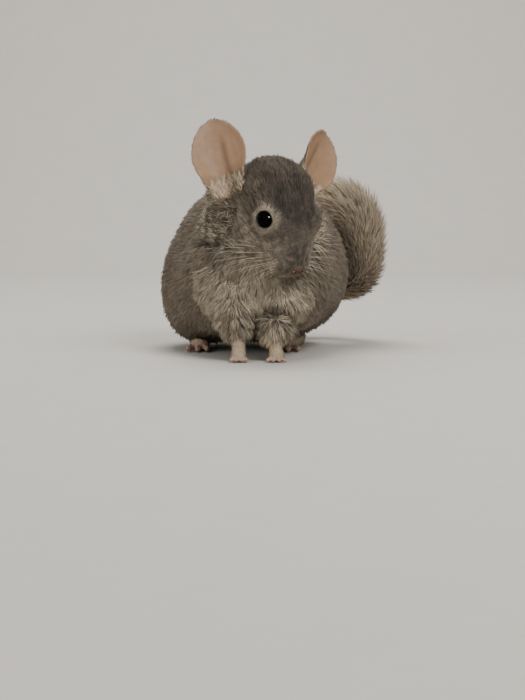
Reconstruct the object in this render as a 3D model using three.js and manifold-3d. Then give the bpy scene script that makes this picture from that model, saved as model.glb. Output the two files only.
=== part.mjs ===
// A crouching grey chinchilla, life size, as a still museum model.
// Millimetres, +Z up. The animal faces -Y with its head turned to its own left (+X) and down.
// While it is built, the front paws stand at y = 0 on the floor z = 0 and the spine lies over x = 0.
// The finished group is then moved so that the middle of its footprint is at the origin.

import * as THREE from "three";
import { mergeVertices } from "three/addons/utils/BufferGeometryUtils.js";
import Module from "manifold-3d";

const wasm = await Module();
wasm.setup();

// Driving sizes

const GAP = 0.3; // left between two pieces that meet
const FUR = 0x6e6455;
const CREAM = 0xc8b9a0;
const SKIN = 0xa5876e;

const HEAD_AT = [9.3, 15, 104]; // between the ear roots
const HEAD_YAW = 35; // degrees towards +X
const HEAD_PITCH = 39; // degrees down

const EYE_RADIUS = 5.9;
const EYE_AT = [24.6, 17.4, 1.2]; // in the head's frame: forward, to its left, up
const LID_THICK = 0.9;
const LID_OPEN = [5.6, 5.1]; // half length and half height of the opening

const EAR_LENGTH = 45.5;
const EAR_HALF_ARC = 18.5; // across the flattened ear at its widest
const EAR_SUNK = 6; // how far its root goes into the head
const EAR_THICK = 1.3;

// Grid that each surface is drawn on
const TORSO_CELL = 10.5;
const NECK_CELL = 7.8;
const HEAD_CELL = 4.1;
const LEG_CELL = 5;
const PAW_CELL = 2.6;
const FOOT_CELL = 5;

// Vectors and frames

const V = (x, y, z) => new THREE.Vector3(x, y, z);
const radians = THREE.MathUtils.degToRad;
const lerp = THREE.MathUtils.lerp;
const smoothstep = THREE.MathUtils.smoothstep;

function directionOf(yaw, pitch) {
  const level = Math.cos(radians(pitch));
  return V(Math.sin(radians(yaw)) * level, -Math.cos(radians(yaw)) * level, -Math.sin(radians(pitch)));
}

const headForward = directionOf(HEAD_YAW, HEAD_PITCH);
const headLeft = V(Math.cos(radians(HEAD_YAW)), Math.sin(radians(HEAD_YAW)), 0);
const headUp = headForward.clone().cross(headLeft);
const headOrigin = V(...HEAD_AT);

function fromHead(forward, left, up) {
  return headOrigin.clone()
    .addScaledVector(headForward, forward)
    .addScaledVector(headLeft, left)
    .addScaledVector(headUp, up);
}

const headAxes = [headForward, headLeft, headUp];
const worldAxes = [V(1, 0, 0), V(0, 1, 0), V(0, 0, 1)];

// Distance fields. Each returns a signed distance, negative inside.

function ellipsoid(centre, radii, axes = worldAxes) {
  const [a, b, c] = radii;
  const offset = V(0, 0, 0);
  return (p) => {
    offset.subVectors(p, centre);
    const u = offset.dot(axes[0]) / a;
    const v = offset.dot(axes[1]) / b;
    const w = offset.dot(axes[2]) / c;
    const inner = Math.hypot(u, v, w);
    const outer = Math.hypot(u / a, v / b, w / c);
    return outer < 1e-9 ? -Math.min(a, b, c) : (inner * (inner - 1)) / outer;
  };
}

function limb(from, to, radiusFrom, radiusTo) {
  const along = to.clone().sub(from);
  const lengthSquared = along.lengthSq();
  const offset = V(0, 0, 0);
  return (p) => {
    offset.subVectors(p, from);
    const t = THREE.MathUtils.clamp(offset.dot(along) / lengthSquared, 0, 1);
    return offset.addScaledVector(along, -t).length() - lerp(radiusFrom, radiusTo, t);
  };
}

function blend(softness, ...fields) {
  return (p) => {
    let near = fields[0](p);
    for (let i = 1; i < fields.length; i += 1) {
      const next = fields[i](p);
      const overlap = Math.max(softness - Math.abs(near - next), 0) / softness;
      near = Math.min(near, next) - (overlap * overlap * softness) / 4;
    }
    return near;
  };
}

function gradientOf(field, p) {
  const step = 0.05;
  const probe = p.clone();
  const slope = V(0, 0, 0);
  for (const axis of ["x", "y", "z"]) {
    probe[axis] = p[axis] + step;
    const ahead = field(probe);
    probe[axis] = p[axis] - step;
    slope[axis] = (ahead - field(probe)) / (2 * step);
    probe[axis] = p[axis];
  }
  return slope;
}

// The surface of a field as a closed mesh: one point in each grid cell that the surface
// crosses, one square across each crossed grid edge. `lift` moves the points outwards.
function surfaceOf(field, box, cell, lift = 0) {
  const [low, high] = box;
  const count = [0, 1, 2].map((i) => Math.ceil((high[i] - low[i]) / cell) + 4);
  const corner = (i, j, k) => V(low[0] + (i - 2) * cell, low[1] + (j - 2) * cell, low[2] + (k - 2) * cell);
  const index = (i, j, k) => (k * count[1] + j) * count[0] + i;
  const values = new Float64Array(count[0] * count[1] * count[2]);
  for (let k = 0; k < count[2]; k += 1) {
    for (let j = 0; j < count[1]; j += 1) {
      for (let i = 0; i < count[0]; i += 1) {
        const rim = i <= 1 || j <= 1 || k <= 1
          || i === count[0] - 1 || j === count[1] - 1 || k === count[2] - 1;
        values[index(i, j, k)] = rim ? cell : field(corner(i, j, k));
      }
    }
  }
  const points = [];
  const pointOf = new Map();
  const corners = [0, 1, 2, 3, 4, 5, 6, 7].map((n) => [n & 1, (n >> 1) & 1, (n >> 2) & 1]);
  for (let k = 0; k < count[2] - 1; k += 1) {
    for (let j = 0; j < count[1] - 1; j += 1) {
      for (let i = 0; i < count[0] - 1; i += 1) {
        const sum = V(0, 0, 0);
        let crossings = 0;
        for (let a = 0; a < 8; a += 1) {
          for (const bit of [1, 2, 4]) {
            const b = a | bit;
            if (a === b) continue;
            const first = corners[a];
            const second = corners[b];
            const here = values[index(i + first[0], j + first[1], k + first[2])];
            const there = values[index(i + second[0], j + second[1], k + second[2])];
            if (here < 0 === there < 0) continue;
            const start = corner(i + first[0], j + first[1], k + first[2]);
            const end = corner(i + second[0], j + second[1], k + second[2]);
            sum.add(start.lerp(end, here / (here - there)));
            crossings += 1;
          }
        }
        if (crossings === 0) continue;
        const p = sum.divideScalar(crossings);
        const slope = gradientOf(field, p);
        const steepness = Math.max(slope.lengthSq(), 0.3);
        const shift = THREE.MathUtils.clamp(-field(p) / steepness, -cell / 3, cell / 3);
        p.addScaledVector(slope, shift);
        if (lift !== 0) p.addScaledVector(gradientOf(field, p).normalize(), lift);
        pointOf.set(index(i, j, k), points.length);
        points.push(p);
      }
    }
  }
  const faces = [];
  const square = (a, b, c, d) => {
    if (points[a].distanceToSquared(points[c]) < points[b].distanceToSquared(points[d])) {
      faces.push(a, b, c, a, c, d);
    } else {
      faces.push(a, b, d, b, c, d);
    }
  };
  const axisSteps = [[1, 0, 0], [0, 1, 0], [0, 0, 1]];
  for (let k = 1; k < count[2] - 1; k += 1) {
    for (let j = 1; j < count[1] - 1; j += 1) {
      for (let i = 1; i < count[0] - 1; i += 1) {
        const here = values[index(i, j, k)];
        for (let axis = 0; axis < 3; axis += 1) {
          const [di, dj, dk] = axisSteps[axis];
          const there = values[index(i + di, j + dj, k + dk)];
          if (here < 0 === there < 0) continue;
          const one = axisSteps[(axis + 1) % 3];
          const two = axisSteps[(axis + 2) % 3];
          const around = [[0, 0], [1, 0], [1, 1], [0, 1]].map(([m, n]) => pointOf.get(index(
            i - m * one[0] - n * two[0],
            j - m * one[1] - n * two[1],
            k - m * one[2] - n * two[2],
          )));
          if (here < 0) square(around[0], around[1], around[2], around[3]);
          else square(around[0], around[3], around[2], around[1]);
        }
      }
    }
  }
  const geometry = new THREE.BufferGeometry();
  const flat = new Float32Array(points.flatMap((p) => [p.x, p.y, p.z]));
  geometry.setAttribute("position", new THREE.BufferAttribute(flat, 3));
  geometry.setIndex(faces);
  return geometry;
}

// Solids: a closed mesh that can be joined and cut

function solid(source) {
  const geometry = source.clone();
  geometry.deleteAttribute("normal");
  geometry.deleteAttribute("uv");
  const merged = mergeVertices(geometry, 1e-4);
  return new wasm.Manifold(new wasm.Mesh({
    numProp: 3,
    vertProperties: new Float32Array(merged.getAttribute("position").array),
    triVerts: new Uint32Array(merged.index.array),
  }));
}

// The surface of a field as a solid. Where two folds meet in one grid cell the mesh isn't
// closed, so the grid is moved by a part of a cell until it is.
function formOf(field, box, cell, lift = 0) {
  const tries = 6;
  for (let i = 0; i < tries; i += 1) {
    const shift = (cell * i) / tries;
    const moved = [box[0].map((low) => low - shift), box[1]];
    try {
      return solid(surfaceOf(field, moved, cell, lift));
    } catch (error) {
      if (i === tries - 1) throw error;
    }
  }
  return null;
}

function largest(shape) {
  const pieces = shape.decompose();
  pieces.sort((a, b) => b.volume() - a.volume());
  return pieces[0];
}

function geometryOf(shape) {
  const mesh = shape.getMesh();
  const geometry = new THREE.BufferGeometry();
  geometry.setAttribute("position", new THREE.BufferAttribute(mesh.vertProperties, 3));
  geometry.setIndex(new THREE.BufferAttribute(mesh.triVerts, 1));
  return geometry;
}

// A ball stretched to three radii, used to carve and to part
function ball(centre, radii, axes = worldAxes, around = 24) {
  const geometry = new THREE.SphereGeometry(1, around, around / 2);
  const turn = new THREE.Matrix4().makeBasis(...axes).scale(V(...radii));
  turn.setPosition(centre);
  return solid(geometry.applyMatrix4(turn));
}

// Everything on the side of a plane that its normal points to
function halfSpace(point, normal) {
  const reach = 400;
  const geometry = new THREE.BoxGeometry(reach, reach, reach);
  geometry.translate(0, 0, reach / 2);
  geometry.applyQuaternion(new THREE.Quaternion().setFromUnitVectors(V(0, 0, 1), normal.clone().normalize()));
  geometry.translate(point.x, point.y, point.z);
  return solid(geometry);
}

// A closed skin over a row of rings with equal numbers of points
function loft(rings) {
  const sides = rings[0].length;
  const points = rings.flat();
  const faces = [];
  for (let r = 0; r < rings.length - 1; r += 1) {
    for (let s = 0; s < sides; s += 1) {
      const a = r * sides + s;
      const b = r * sides + ((s + 1) % sides);
      faces.push(a, b, b + sides, a, b + sides, a + sides);
    }
  }
  const ends = [[0, -1], [(rings.length - 1) * sides, 1]];
  for (const [start, facing] of ends) {
    const middle = points.slice(start, start + sides).reduce((sum, p) => sum.add(p), V(0, 0, 0));
    points.push(middle.divideScalar(sides));
    for (let s = 0; s < sides; s += 1) {
      const a = start + s;
      const b = start + ((s + 1) % sides);
      if (facing > 0) faces.push(a, b, points.length - 1);
      else faces.push(b, a, points.length - 1);
    }
  }
  const geometry = new THREE.BufferGeometry();
  const flat = new Float32Array(points.flatMap((p) => [p.x, p.y, p.z]));
  geometry.setAttribute("position", new THREE.BufferAttribute(flat, 3));
  geometry.setIndex(faces);
  return geometry;
}

function closed(rings) {
  const shape = solid(loft(rings));
  return shape.volume() > 0 ? shape : solid(loft(rings.map((ring) => [...ring].reverse())));
}

// A tapering rod along a row of points, `widths` across it and `depths` along its `up`
function strand(points, widths, depths, ups, sides) {
  const last = points.length - 1;
  return closed(points.map((at, i) => {
    const along = points[Math.min(i + 1, last)].clone().sub(points[Math.max(i - 1, 0)]).normalize();
    const across = along.clone().cross(ups[i]).normalize();
    const top = across.clone().cross(along);
    return Array.from({ length: sides }, (_, s) => {
      const angle = (2 * Math.PI * s) / sides;
      return at.clone()
        .addScaledVector(across, Math.cos(angle) * widths[i])
        .addScaledVector(top, Math.sin(angle) * depths[i]);
    });
  }));
}

// Repeatable random numbers from 0 to 1
function drawFrom(seed) {
  let state = seed;
  return () => {
    state = (state * 1664525 + 1013904223) % 4294967296;
    return state / 4294967296;
  };
}

// Flesh of the body, out to the tips of its short coat

// The left haunch is drawn up under the turned body, the right one spreads on the ground
const HAUNCHES = {
  left: { at: [30, 84, 46], radii: [28, 40, 32] },
  right: { at: [-38, 84, 38], radii: [28, 42, 36] },
};
const RUMP = { at: [0, 96, 56], radii: [61, 57, 54] };
const BACK = { at: [0, 82, 72], radii: [50, 58, 44] };
const CHEST = { at: [0, 42, 50], radii: [41, 38, 38] };
const SHOULDER = { at: [26, 44, 48], radii: [23, 28, 32] };
const NECK = { at: [3, 38, 82], radii: [35, 33, 30] };
const RUFF = { at: [-15, 17, -15], radii: [19, 16, 18] }; // in the head's frame
const FLOOR_CLEARANCE = 1.2;

const mirrored = ([x, y, z], side) => V(x * side, y, z);

const trunk = blend(
  14,
  ellipsoid(V(...RUMP.at), RUMP.radii),
  ellipsoid(V(...BACK.at), BACK.radii),
  ellipsoid(V(...CHEST.at), CHEST.radii),
  ellipsoid(V(...NECK.at), NECK.radii),
  ...Object.values(HAUNCHES).map(({ at, radii }) => ellipsoid(V(...at), radii)),
  ...[1, -1].flatMap((side) => [
    ellipsoid(mirrored(SHOULDER.at, side), SHOULDER.radii),
    ellipsoid(fromHead(RUFF.at[0], RUFF.at[1] * side, RUFF.at[2]), RUFF.radii, headAxes),
  ]),
);
const trunkBox = [[-72, -4, -8], [72, 158, 124]];
const neckBox = [[-50, -20, 56], [58, 72, 132]];

// Head

const eyeCentre = (side) => fromHead(EYE_AT[0], EYE_AT[1] * side, EYE_AT[2]);
const LID_RADIUS = EYE_RADIUS + GAP + LID_THICK;

const muzzleForms = blend(
  5,
  ellipsoid(fromHead(38, 0, -18.5), [14, 11.5, 11], headAxes),
  ellipsoid(fromHead(34, 0, -28), [11, 8.5, 6.5], headAxes),
  ellipsoid(fromHead(37, 7.5, -21), [11, 8.5, 9], headAxes),
  ellipsoid(fromHead(37, -7.5, -21), [11, 8.5, 9], headAxes),
  ellipsoid(fromHead(29, 0, -9), [17, 11.5, 12.5], headAxes),
);
const headForms = blend(
  8,
  ellipsoid(fromHead(3, 0, 1), [27, 25.5, 24], headAxes),
  ellipsoid(fromHead(19, 0, -5), [22, 20.5, 20], headAxes),
  ellipsoid(fromHead(18, 14, -19), [18, 13.5, 15], headAxes),
  ellipsoid(fromHead(18, -14, -19), [18, 13.5, 15], headAxes),
  muzzleForms,
  ...[1, -1].map((side) => ellipsoid(eyeCentre(side), [LID_RADIUS, LID_RADIUS, LID_RADIUS])),
);
const headBox = [[-36, -40, 34], [56, 62, 136]];

function eyeFrame(side) {
  const centre = eyeCentre(side);
  const outward = headLeft.clone().multiplyScalar(side * 0.86)
    .addScaledVector(headForward, 0.42)
    .addScaledVector(headUp, 0.28)
    .normalize();
  const upward = headUp.clone().addScaledVector(outward, -headUp.dot(outward)).normalize();
  const along = upward.clone().cross(outward);
  return { centre, outward, upward, along };
}

function headSolid() {
  let head = formOf(headForms, headBox, HEAD_CELL);
  for (const side of [1, -1]) {
    const { centre, outward, upward, along } = eyeFrame(side);
    head = head.add(ball(centre, [LID_RADIUS, LID_RADIUS, LID_RADIUS], [along, upward, outward], 16));
    const socket = EYE_RADIUS + GAP;
    head = head.subtract(ball(centre, [socket, socket, socket], worldAxes, 16));
    const opening = centre.clone().addScaledVector(outward, EYE_RADIUS);
    head = head.subtract(ball(opening, [LID_OPEN[0], LID_OPEN[1], 3.4], [along, upward, outward], 16));
    const nostril = fromHead(51.2, 2.7 * side, -19.5);
    head = head.subtract(ball(nostril, [2.4, 1.3, 1.1], headAxes, 12));
    const lip = fromHead(45, 3.2 * side, -28.4);
    head = head.subtract(ball(lip, [6, 4.4, 0.7], headAxes, 12));
  }
  const cleft = fromHead(51, 0, -25);
  head = head.subtract(ball(cleft, [3.2, 0.5, 4], headAxes, 12));
  return largest(head);
}

function eyeSolid(side) {
  const { centre } = eyeFrame(side);
  return ball(centre, [EYE_RADIUS, EYE_RADIUS, EYE_RADIUS], worldAxes, 14);
}

// Ears: a cupped leaf on a short funnel, with its hollow side towards `facing`

const EARS = {
  left: { root: [-9, 26, 2], tilt: [0.5, 0.5, 0.71], facing: [0.82, -0.54, 0.18], fold: 0.8, crease: -0.35 },
  right: { root: [-8, -28, -1], tilt: [-0.26, 0.12, 0.95], facing: [-0.14, -0.98, 0.1], fold: 0.55, crease: 0.35 },
};

const CREASE_DEEP = 1.6;

function earSolid({ root, tilt, facing, fold, crease }) {
  const axis = V(...tilt).normalize();
  const towards = V(...facing);
  towards.addScaledVector(axis, -towards.dot(axis)).normalize();
  const across = axis.clone().cross(towards).normalize();
  const base = fromHead(...root).addScaledVector(axis, -EAR_SUNK);
  const length = EAR_LENGTH + EAR_SUNK;
  const widest = 0.5;
  const rows = 9;
  const columns = 8;
  const halfArc = (u) => {
    if (u < widest) return EAR_HALF_ARC * lerp(0.56, 1, Math.sin((Math.PI / 2) * (u / widest)));
    const rest = (u - widest) / (1 - widest);
    return EAR_HALF_ARC * Math.max(1 - rest ** 2, 0.01) ** 0.6;
  };
  const bend = (u) => lerp(1.55, fold, smoothstep(u, 0, 0.7));
  const point = (u, v, depth) => {
    const angle = bend(u) * v;
    const radius = halfArc(u) / bend(u);
    const sideways = (radius + depth) * Math.sin(angle);
    const folded = CREASE_DEEP * Math.exp(-(((v - crease) / 0.2) ** 2)) * (1 - u);
    const forward = radius - (radius + depth) * Math.cos(angle) - 5 * u * u + folded;
    return base.clone()
      .addScaledVector(axis, u * length)
      .addScaledVector(across, sideways)
      .addScaledVector(towards, forward);
  };
  const rings = [];
  for (let r = 0; r <= rows; r += 1) {
    const u = (1 - (1 - r / rows) ** 1.25) * 0.995;
    const ring = [];
    for (let c = 0; c <= columns; c += 1) ring.push(point(u, -1 + (2 * c) / columns, 0));
    for (let c = columns; c >= 0; c -= 1) ring.push(point(u, -1 + (2 * c) / columns, EAR_THICK));
    rings.push(ring);
  }
  return closed(rings);
}

// Legs

const FORELEG = {
  left: { shoulder: [22, 26, 46], elbow: [15, 13, 31], wrist: [10, 4, 13.4], paw: [12, -1, 4.6] },
  right: { shoulder: [-24, 26, 48], elbow: [-16, 13, 34], wrist: [-12.6, 4, 16], paw: [-11.6, -1, 4.8] },
};
const FORELEG_RADII = [17, 13, 7.6];
const WRIST_RADIUS = 4.5;
const WRIST_CUT = 13;
const FRINGE = { locks: 7, top: 27, low: 13.5, wide: 5.8, thick: 1.8, flare: 2.8 };

function forelegField({ shoulder, elbow, wrist }) {
  const [top, middle, bottom] = FORELEG_RADII;
  const cuff = V(...wrist).add(V(0, 1, 3));
  return blend(
    6,
    limb(V(...shoulder), V(...elbow), top, middle),
    limb(V(...elbow), cuff, middle, bottom),
  );
}

// The shaggy hair that hangs over a wrist: locks round the leg, tips standing out a little
function fringeLocks({ elbow, wrist }, seed) {
  const draw = drawFrom(seed);
  const { locks, top, low, wide, thick, flare } = FRINGE;
  return Array.from({ length: locks }, (_, i) => {
    const angle = (2 * Math.PI * (i + 0.3 * draw())) / locks;
    const outward = V(Math.cos(angle), Math.sin(angle), 0);
    const start = top + 5 * draw();
    const end = low + 3.5 * draw();
    const points = [0, 0.5, 1].map((t) => {
      const z = lerp(start, end, t);
      const share = THREE.MathUtils.clamp((z - wrist[2]) / (elbow[2] - wrist[2]), 0, 1);
      const middle = V(...wrist).lerp(V(...elbow), share);
      const around = lerp(FORELEG_RADII[2], FORELEG_RADII[1], share) - 1.6 + flare * t;
      return V(middle.x, middle.y, z).addScaledVector(outward, around);
    });
    return strand(points, [wide * 0.8, wide, 0.7], [thick, thick, 0.5],
      points.map(() => outward), 4);
  });
}

function toe(from, to, radius) {
  const points = [0, 0.4, 0.8, 1].map((t) => from.clone().lerp(to, t));
  const radii = [radius, radius, radius * 0.9, radius * 0.45];
  return strand(points, radii, radii, points.map(() => V(0, 0, 1)), 5);
}

const FOREPAW = { palm: [4.9, 5.4, 3.9], toeLong: 6.2, toeRadius: 1.75, toeApart: 2.5 };

function pawSolid({ wrist, paw }, spread) {
  const centre = V(...paw);
  const { palm, toeLong, toeRadius, toeApart } = FOREPAW;
  const field = blend(
    2,
    ellipsoid(centre.clone().add(V(0, 0.8, -1)), palm),
    limb(V(wrist[0], wrist[1], wrist[2] + 6), centre.clone().add(V(0, 1.5, 1)), WRIST_RADIUS, WRIST_RADIUS),
  );
  let shape = formOf(field, [[-30, -16, -5], [32, 18, 26]], PAW_CELL);
  for (const place of [-1.5, -0.5, 0.5, 1.5]) {
    const angle = radians(place * spread);
    const knuckle = centre.clone().add(V(place * toeApart, -2.4, -2.3));
    const long = toeLong * (1 - 0.08 * Math.abs(place));
    const tip = knuckle.clone().add(V(Math.sin(angle) * long, -Math.cos(angle) * long, -1.1));
    shape = shape.add(toe(knuckle, tip, toeRadius));
  }
  return shape;
}

const HINDFEET = {
  left: { heel: [27, 104, 6], ball: [20, 65, 5] },
  right: { heel: [-41, 104, 6], ball: [-39, 64, 5] },
};
const HINDTOES = { long: 15, radius: 2.6, apart: 4.6 };

function hindfootSolid(foot, side) {
  const heel = V(...foot.heel);
  const instep = V(...foot.ball);
  let shape = formOf(limb(heel, instep, 7.5, 6.4), [[-60, 40, -6], [60, 122, 20]], FOOT_CELL);
  for (const place of [-1, 0, 1]) {
    const knuckle = instep.clone().add(V(place * HINDTOES.apart, -1, -2.4));
    const tip = knuckle.clone().add(V(place * 2 + side, -HINDTOES.long + Math.abs(place) * 2.2, -0.6));
    shape = shape.add(toe(knuckle, tip, HINDTOES.radius));
  }
  return shape;
}

// Tail: from the rump round to the left flank, up and over, with its end over the left haunch

const TAIL_ROUTE = [
  [4, 142, 42], [30, 156, 38], [57, 148, 38], [71, 131, 47], [72, 118, 68], [65, 110, 88], [43, 104, 100],
];
const TAIL_WIDTH = [9, 11.5, 13.5, 15.5, 18, 20, 16];
const TAIL_CUTS = [0.3, 0.64];
const TAIL_CORE = 0.5; // share of the width that is dense
const TAIL_LOCKS = { rows: 4, first: 0.02, last: 0.72, around: 5, long: 0.36, wide: 0.66, thick: 0.17 };
const tailCurve = new THREE.CatmullRomCurve3(TAIL_ROUTE.map((p) => V(...p)), false, "centripetal");
const tailLength = tailCurve.getLength();

function tailRadius(t) {
  const place = THREE.MathUtils.clamp(t, 0, 1) * (TAIL_WIDTH.length - 1);
  const low = Math.min(Math.floor(place), TAIL_WIDTH.length - 2);
  return lerp(TAIL_WIDTH[low], TAIL_WIDTH[low + 1], place - low);
}

function tailFrame(t) {
  const inside = Math.min(t, 1);
  const along = tailCurve.getTangent(inside);
  const at = tailCurve.getPoint(inside).addScaledVector(along, (t - inside) * tailLength);
  const out = at.clone().sub(V(20, 96, 62));
  out.addScaledVector(along, -out.dot(along)).normalize();
  return { at, along, out, side: along.clone().cross(out) };
}

function tailPoint(t, angle, radius) {
  const { at, out, side } = tailFrame(t);
  const outward = out.clone().multiplyScalar(Math.cos(angle)).addScaledVector(side, Math.sin(angle));
  return { point: at.addScaledVector(outward, radius), outward };
}

function tailCore() {
  const steps = 16;
  const places = Array.from({ length: steps + 1 }, (_, i) => i / steps);
  const radii = places.map((t) => tailRadius(t) * TAIL_CORE * Math.sqrt(Math.min(1, (1.03 - t) / 0.1)));
  const frames = places.map(tailFrame);
  return strand(frames.map(({ at }) => at), radii, radii, frames.map(({ out }) => out), 10);
}

function tailLock(start, angle, draw) {
  const { long, wide, thick } = TAIL_LOCKS;
  const reach = long * (0.85 + 0.3 * draw());
  const turn = 0.3 * (draw() - 0.5);
  const rise = 0.9 + 0.1 * draw();
  const stations = [0, 0.3, 0.66, 1].map((t, i) => {
    const place = start + reach * t;
    const out = [TAIL_CORE * 0.5, 0.76, 0.94, 1][i] * (i > 1 ? rise : 1);
    return tailPoint(place, angle + turn * t, tailRadius(place) * out);
  });
  const size = tailRadius(start + reach / 2);
  const widths = [0.6, 1, 0.85, 0.1].map((share) => share * size * wide);
  const depths = [1, 1, 0.8, 0.2].map((share) => share * size * thick);
  return strand(stations.map(({ point }) => point), widths, depths, stations.map(({ outward }) => outward), 4);
}

function tailSolid() {
  const draw = drawFrom(5);
  const { rows, first, last, around } = TAIL_LOCKS;
  let shape = tailCore();
  for (let row = 0; row < rows; row += 1) {
    const start = lerp(first, last, row / (rows - 1));
    for (let s = 0; s < around; s += 1) {
      const angle = (2 * Math.PI * (s + 0.5 * (row % 2) + 0.2 * draw())) / around;
      shape = shape.add(tailLock(start + 0.02 * draw(), angle, draw));
    }
  }
  return shape;
}

// Putting the animal together

const above = (level) => halfSpace(V(0, 0, level), V(0, 0, 1));
const grownTrunk = formOf(trunk, trunkBox, TORSO_CELL, GAP);
const grownNeck = formOf(trunk, neckBox, NECK_CELL, GAP);
const grownHead = formOf(headForms, headBox, HEAD_CELL, GAP);
const nodes = new Map();
const put = (name, shape, material) => nodes.set(name, { shape: largest(shape), material });

const NECK_KNIFE = { at: [3, 24, 100], radii: [54, 42, 36] };
const HAUNCH_KNIVES = {
  left: { at: [40, 80, 42], radii: [28, 40, 36] },
  right: { at: [-46, 80, 34], radii: [30, 40, 38] },
};
const knife = ({ at, radii }, side, grow) => ball(mirrored(at, side), radii.map((r) => r + grow), worldAxes, 16);

let torso = formOf(trunk, trunkBox, TORSO_CELL).intersect(above(FLOOR_CLEARANCE));
torso = torso.subtract(knife(NECK_KNIFE, 1, GAP)).subtract(grownHead);
const neck = formOf(trunk, neckBox, NECK_CELL).intersect(knife(NECK_KNIFE, 1, 0)).subtract(grownHead);

const furred = { color: FUR, roughness: 0.9, metalness: 0 };
const pale = { color: CREAM, roughness: 0.85, metalness: 0 };
const bare = { color: SKIN, roughness: 0.7, metalness: 0 };
const glossy = { color: 0x0c0a09, roughness: 0.1, metalness: 0 };

// The space that a wrist needs inside the fringe over it
function wristRoom({ wrist, paw }) {
  const room = WRIST_RADIUS + GAP + 0.5;
  const points = [V(paw[0], paw[1] + 1, 2), V(paw[0], paw[1] + 1.5, 6), V(wrist[0], wrist[1], WRIST_CUT - GAP / 2)];
  return strand(points, [room, room, room], [room, room, room], points.map(() => V(0, 1, 0)), 14);
}

for (const [name, side] of [["left", 1], ["right", -1]]) {
  put(`hindleg_${name}`, torso.intersect(knife(HAUNCH_KNIVES[name], 1, 0)), furred);
  torso = torso.subtract(knife(HAUNCH_KNIVES[name], 1, GAP));
  put(`hindfoot_${name}`, hindfootSolid(HINDFEET[name], side).intersect(above(0)).subtract(grownTrunk), pale);

  const leg = FORELEG[name];
  const legField = forelegField(leg);
  const legBox = [[-46, -14, 4], [46, 50, 68]];
  const wristBelow = halfSpace(V(0, 0, WRIST_CUT - GAP), V(0, 0, -1));
  const paw = pawSolid(leg, name === "left" ? 17 : 9).intersect(above(0)).intersect(wristBelow);
  put(`forepaw_${name}`, paw, pale);
  let arm = formOf(legField, legBox, LEG_CELL).intersect(above(WRIST_CUT));
  const seeds = { left: 21, right: 22 };
  fringeLocks(leg, seeds[name]).forEach((lock) => {
    arm = arm.add(lock);
  });
  put(`foreleg_${name}`, arm.subtract(grownTrunk).subtract(grownHead).subtract(wristRoom(leg)), furred);

  put(`ear_${name}`, earSolid(EARS[name]).subtract(grownHead).subtract(grownNeck), bare);
  put(`eye_${name}`, eyeSolid(side), glossy);
}
put("neck", neck, furred);
put("torso", torso, furred);
put("head", headSolid(), furred);

const tail = tailSolid().subtract(grownTrunk);
const tailNames = ["tail_base", "tail_middle", "tail_tip"];
const cuts = [0, ...TAIL_CUTS, 1];
tailNames.forEach((name, i) => {
  let piece = tail;
  if (i > 0) {
    const { at, along } = tailFrame(cuts[i]);
    piece = piece.intersect(halfSpace(at.clone().addScaledVector(along, GAP / 2), along));
  }
  if (i < 2) {
    const { at, along } = tailFrame(cuts[i + 1]);
    piece = piece.intersect(halfSpace(at.clone().addScaledVector(along, -GAP / 2), along.clone().negate()));
  }
  put(name, piece, furred);
});

const chinchilla = new THREE.Group();
for (const [name, { shape, material }] of nodes) {
  const mesh = new THREE.Mesh(geometryOf(shape), new THREE.MeshStandardMaterial(material));
  mesh.name = name;
  chinchilla.add(mesh);
}
const extent = new THREE.Box3().setFromObject(chinchilla);
const middle = extent.getCenter(V(0, 0, 0));
chinchilla.position.set(-middle.x, -middle.y, -extent.min.z);

export default chinchilla;
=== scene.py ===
"""A crouching grey chinchilla: its skin, coat, ears, eyes, whiskers and claws."""

import math

import bmesh
import bpy
import numpy as np
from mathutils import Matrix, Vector
from mathutils.kdtree import KDTree


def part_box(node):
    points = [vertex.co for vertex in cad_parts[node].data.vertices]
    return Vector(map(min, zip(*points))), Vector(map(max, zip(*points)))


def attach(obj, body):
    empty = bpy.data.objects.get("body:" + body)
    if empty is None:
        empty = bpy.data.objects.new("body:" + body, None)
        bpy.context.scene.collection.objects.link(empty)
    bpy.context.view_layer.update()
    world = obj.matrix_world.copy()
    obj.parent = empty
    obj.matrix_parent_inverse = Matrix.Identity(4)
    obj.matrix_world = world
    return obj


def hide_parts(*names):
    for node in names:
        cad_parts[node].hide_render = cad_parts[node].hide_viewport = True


bl_info = {
    "name": "Chinchilla",
    "version": (1, 0, 0),
    "blender": (4, 5, 0),
    "location": "View3D > Sidebar > Chinchilla",
    "description": "Builds the skin, coat and fine parts of a crouching chinchilla",
    "category": "Object",
}

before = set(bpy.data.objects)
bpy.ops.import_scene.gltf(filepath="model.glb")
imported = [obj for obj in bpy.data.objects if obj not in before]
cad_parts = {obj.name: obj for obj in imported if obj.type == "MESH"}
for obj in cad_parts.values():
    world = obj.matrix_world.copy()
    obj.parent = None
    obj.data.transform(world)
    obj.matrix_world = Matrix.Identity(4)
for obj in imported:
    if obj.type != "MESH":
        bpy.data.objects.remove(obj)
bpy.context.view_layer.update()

MM = 0.001

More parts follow.
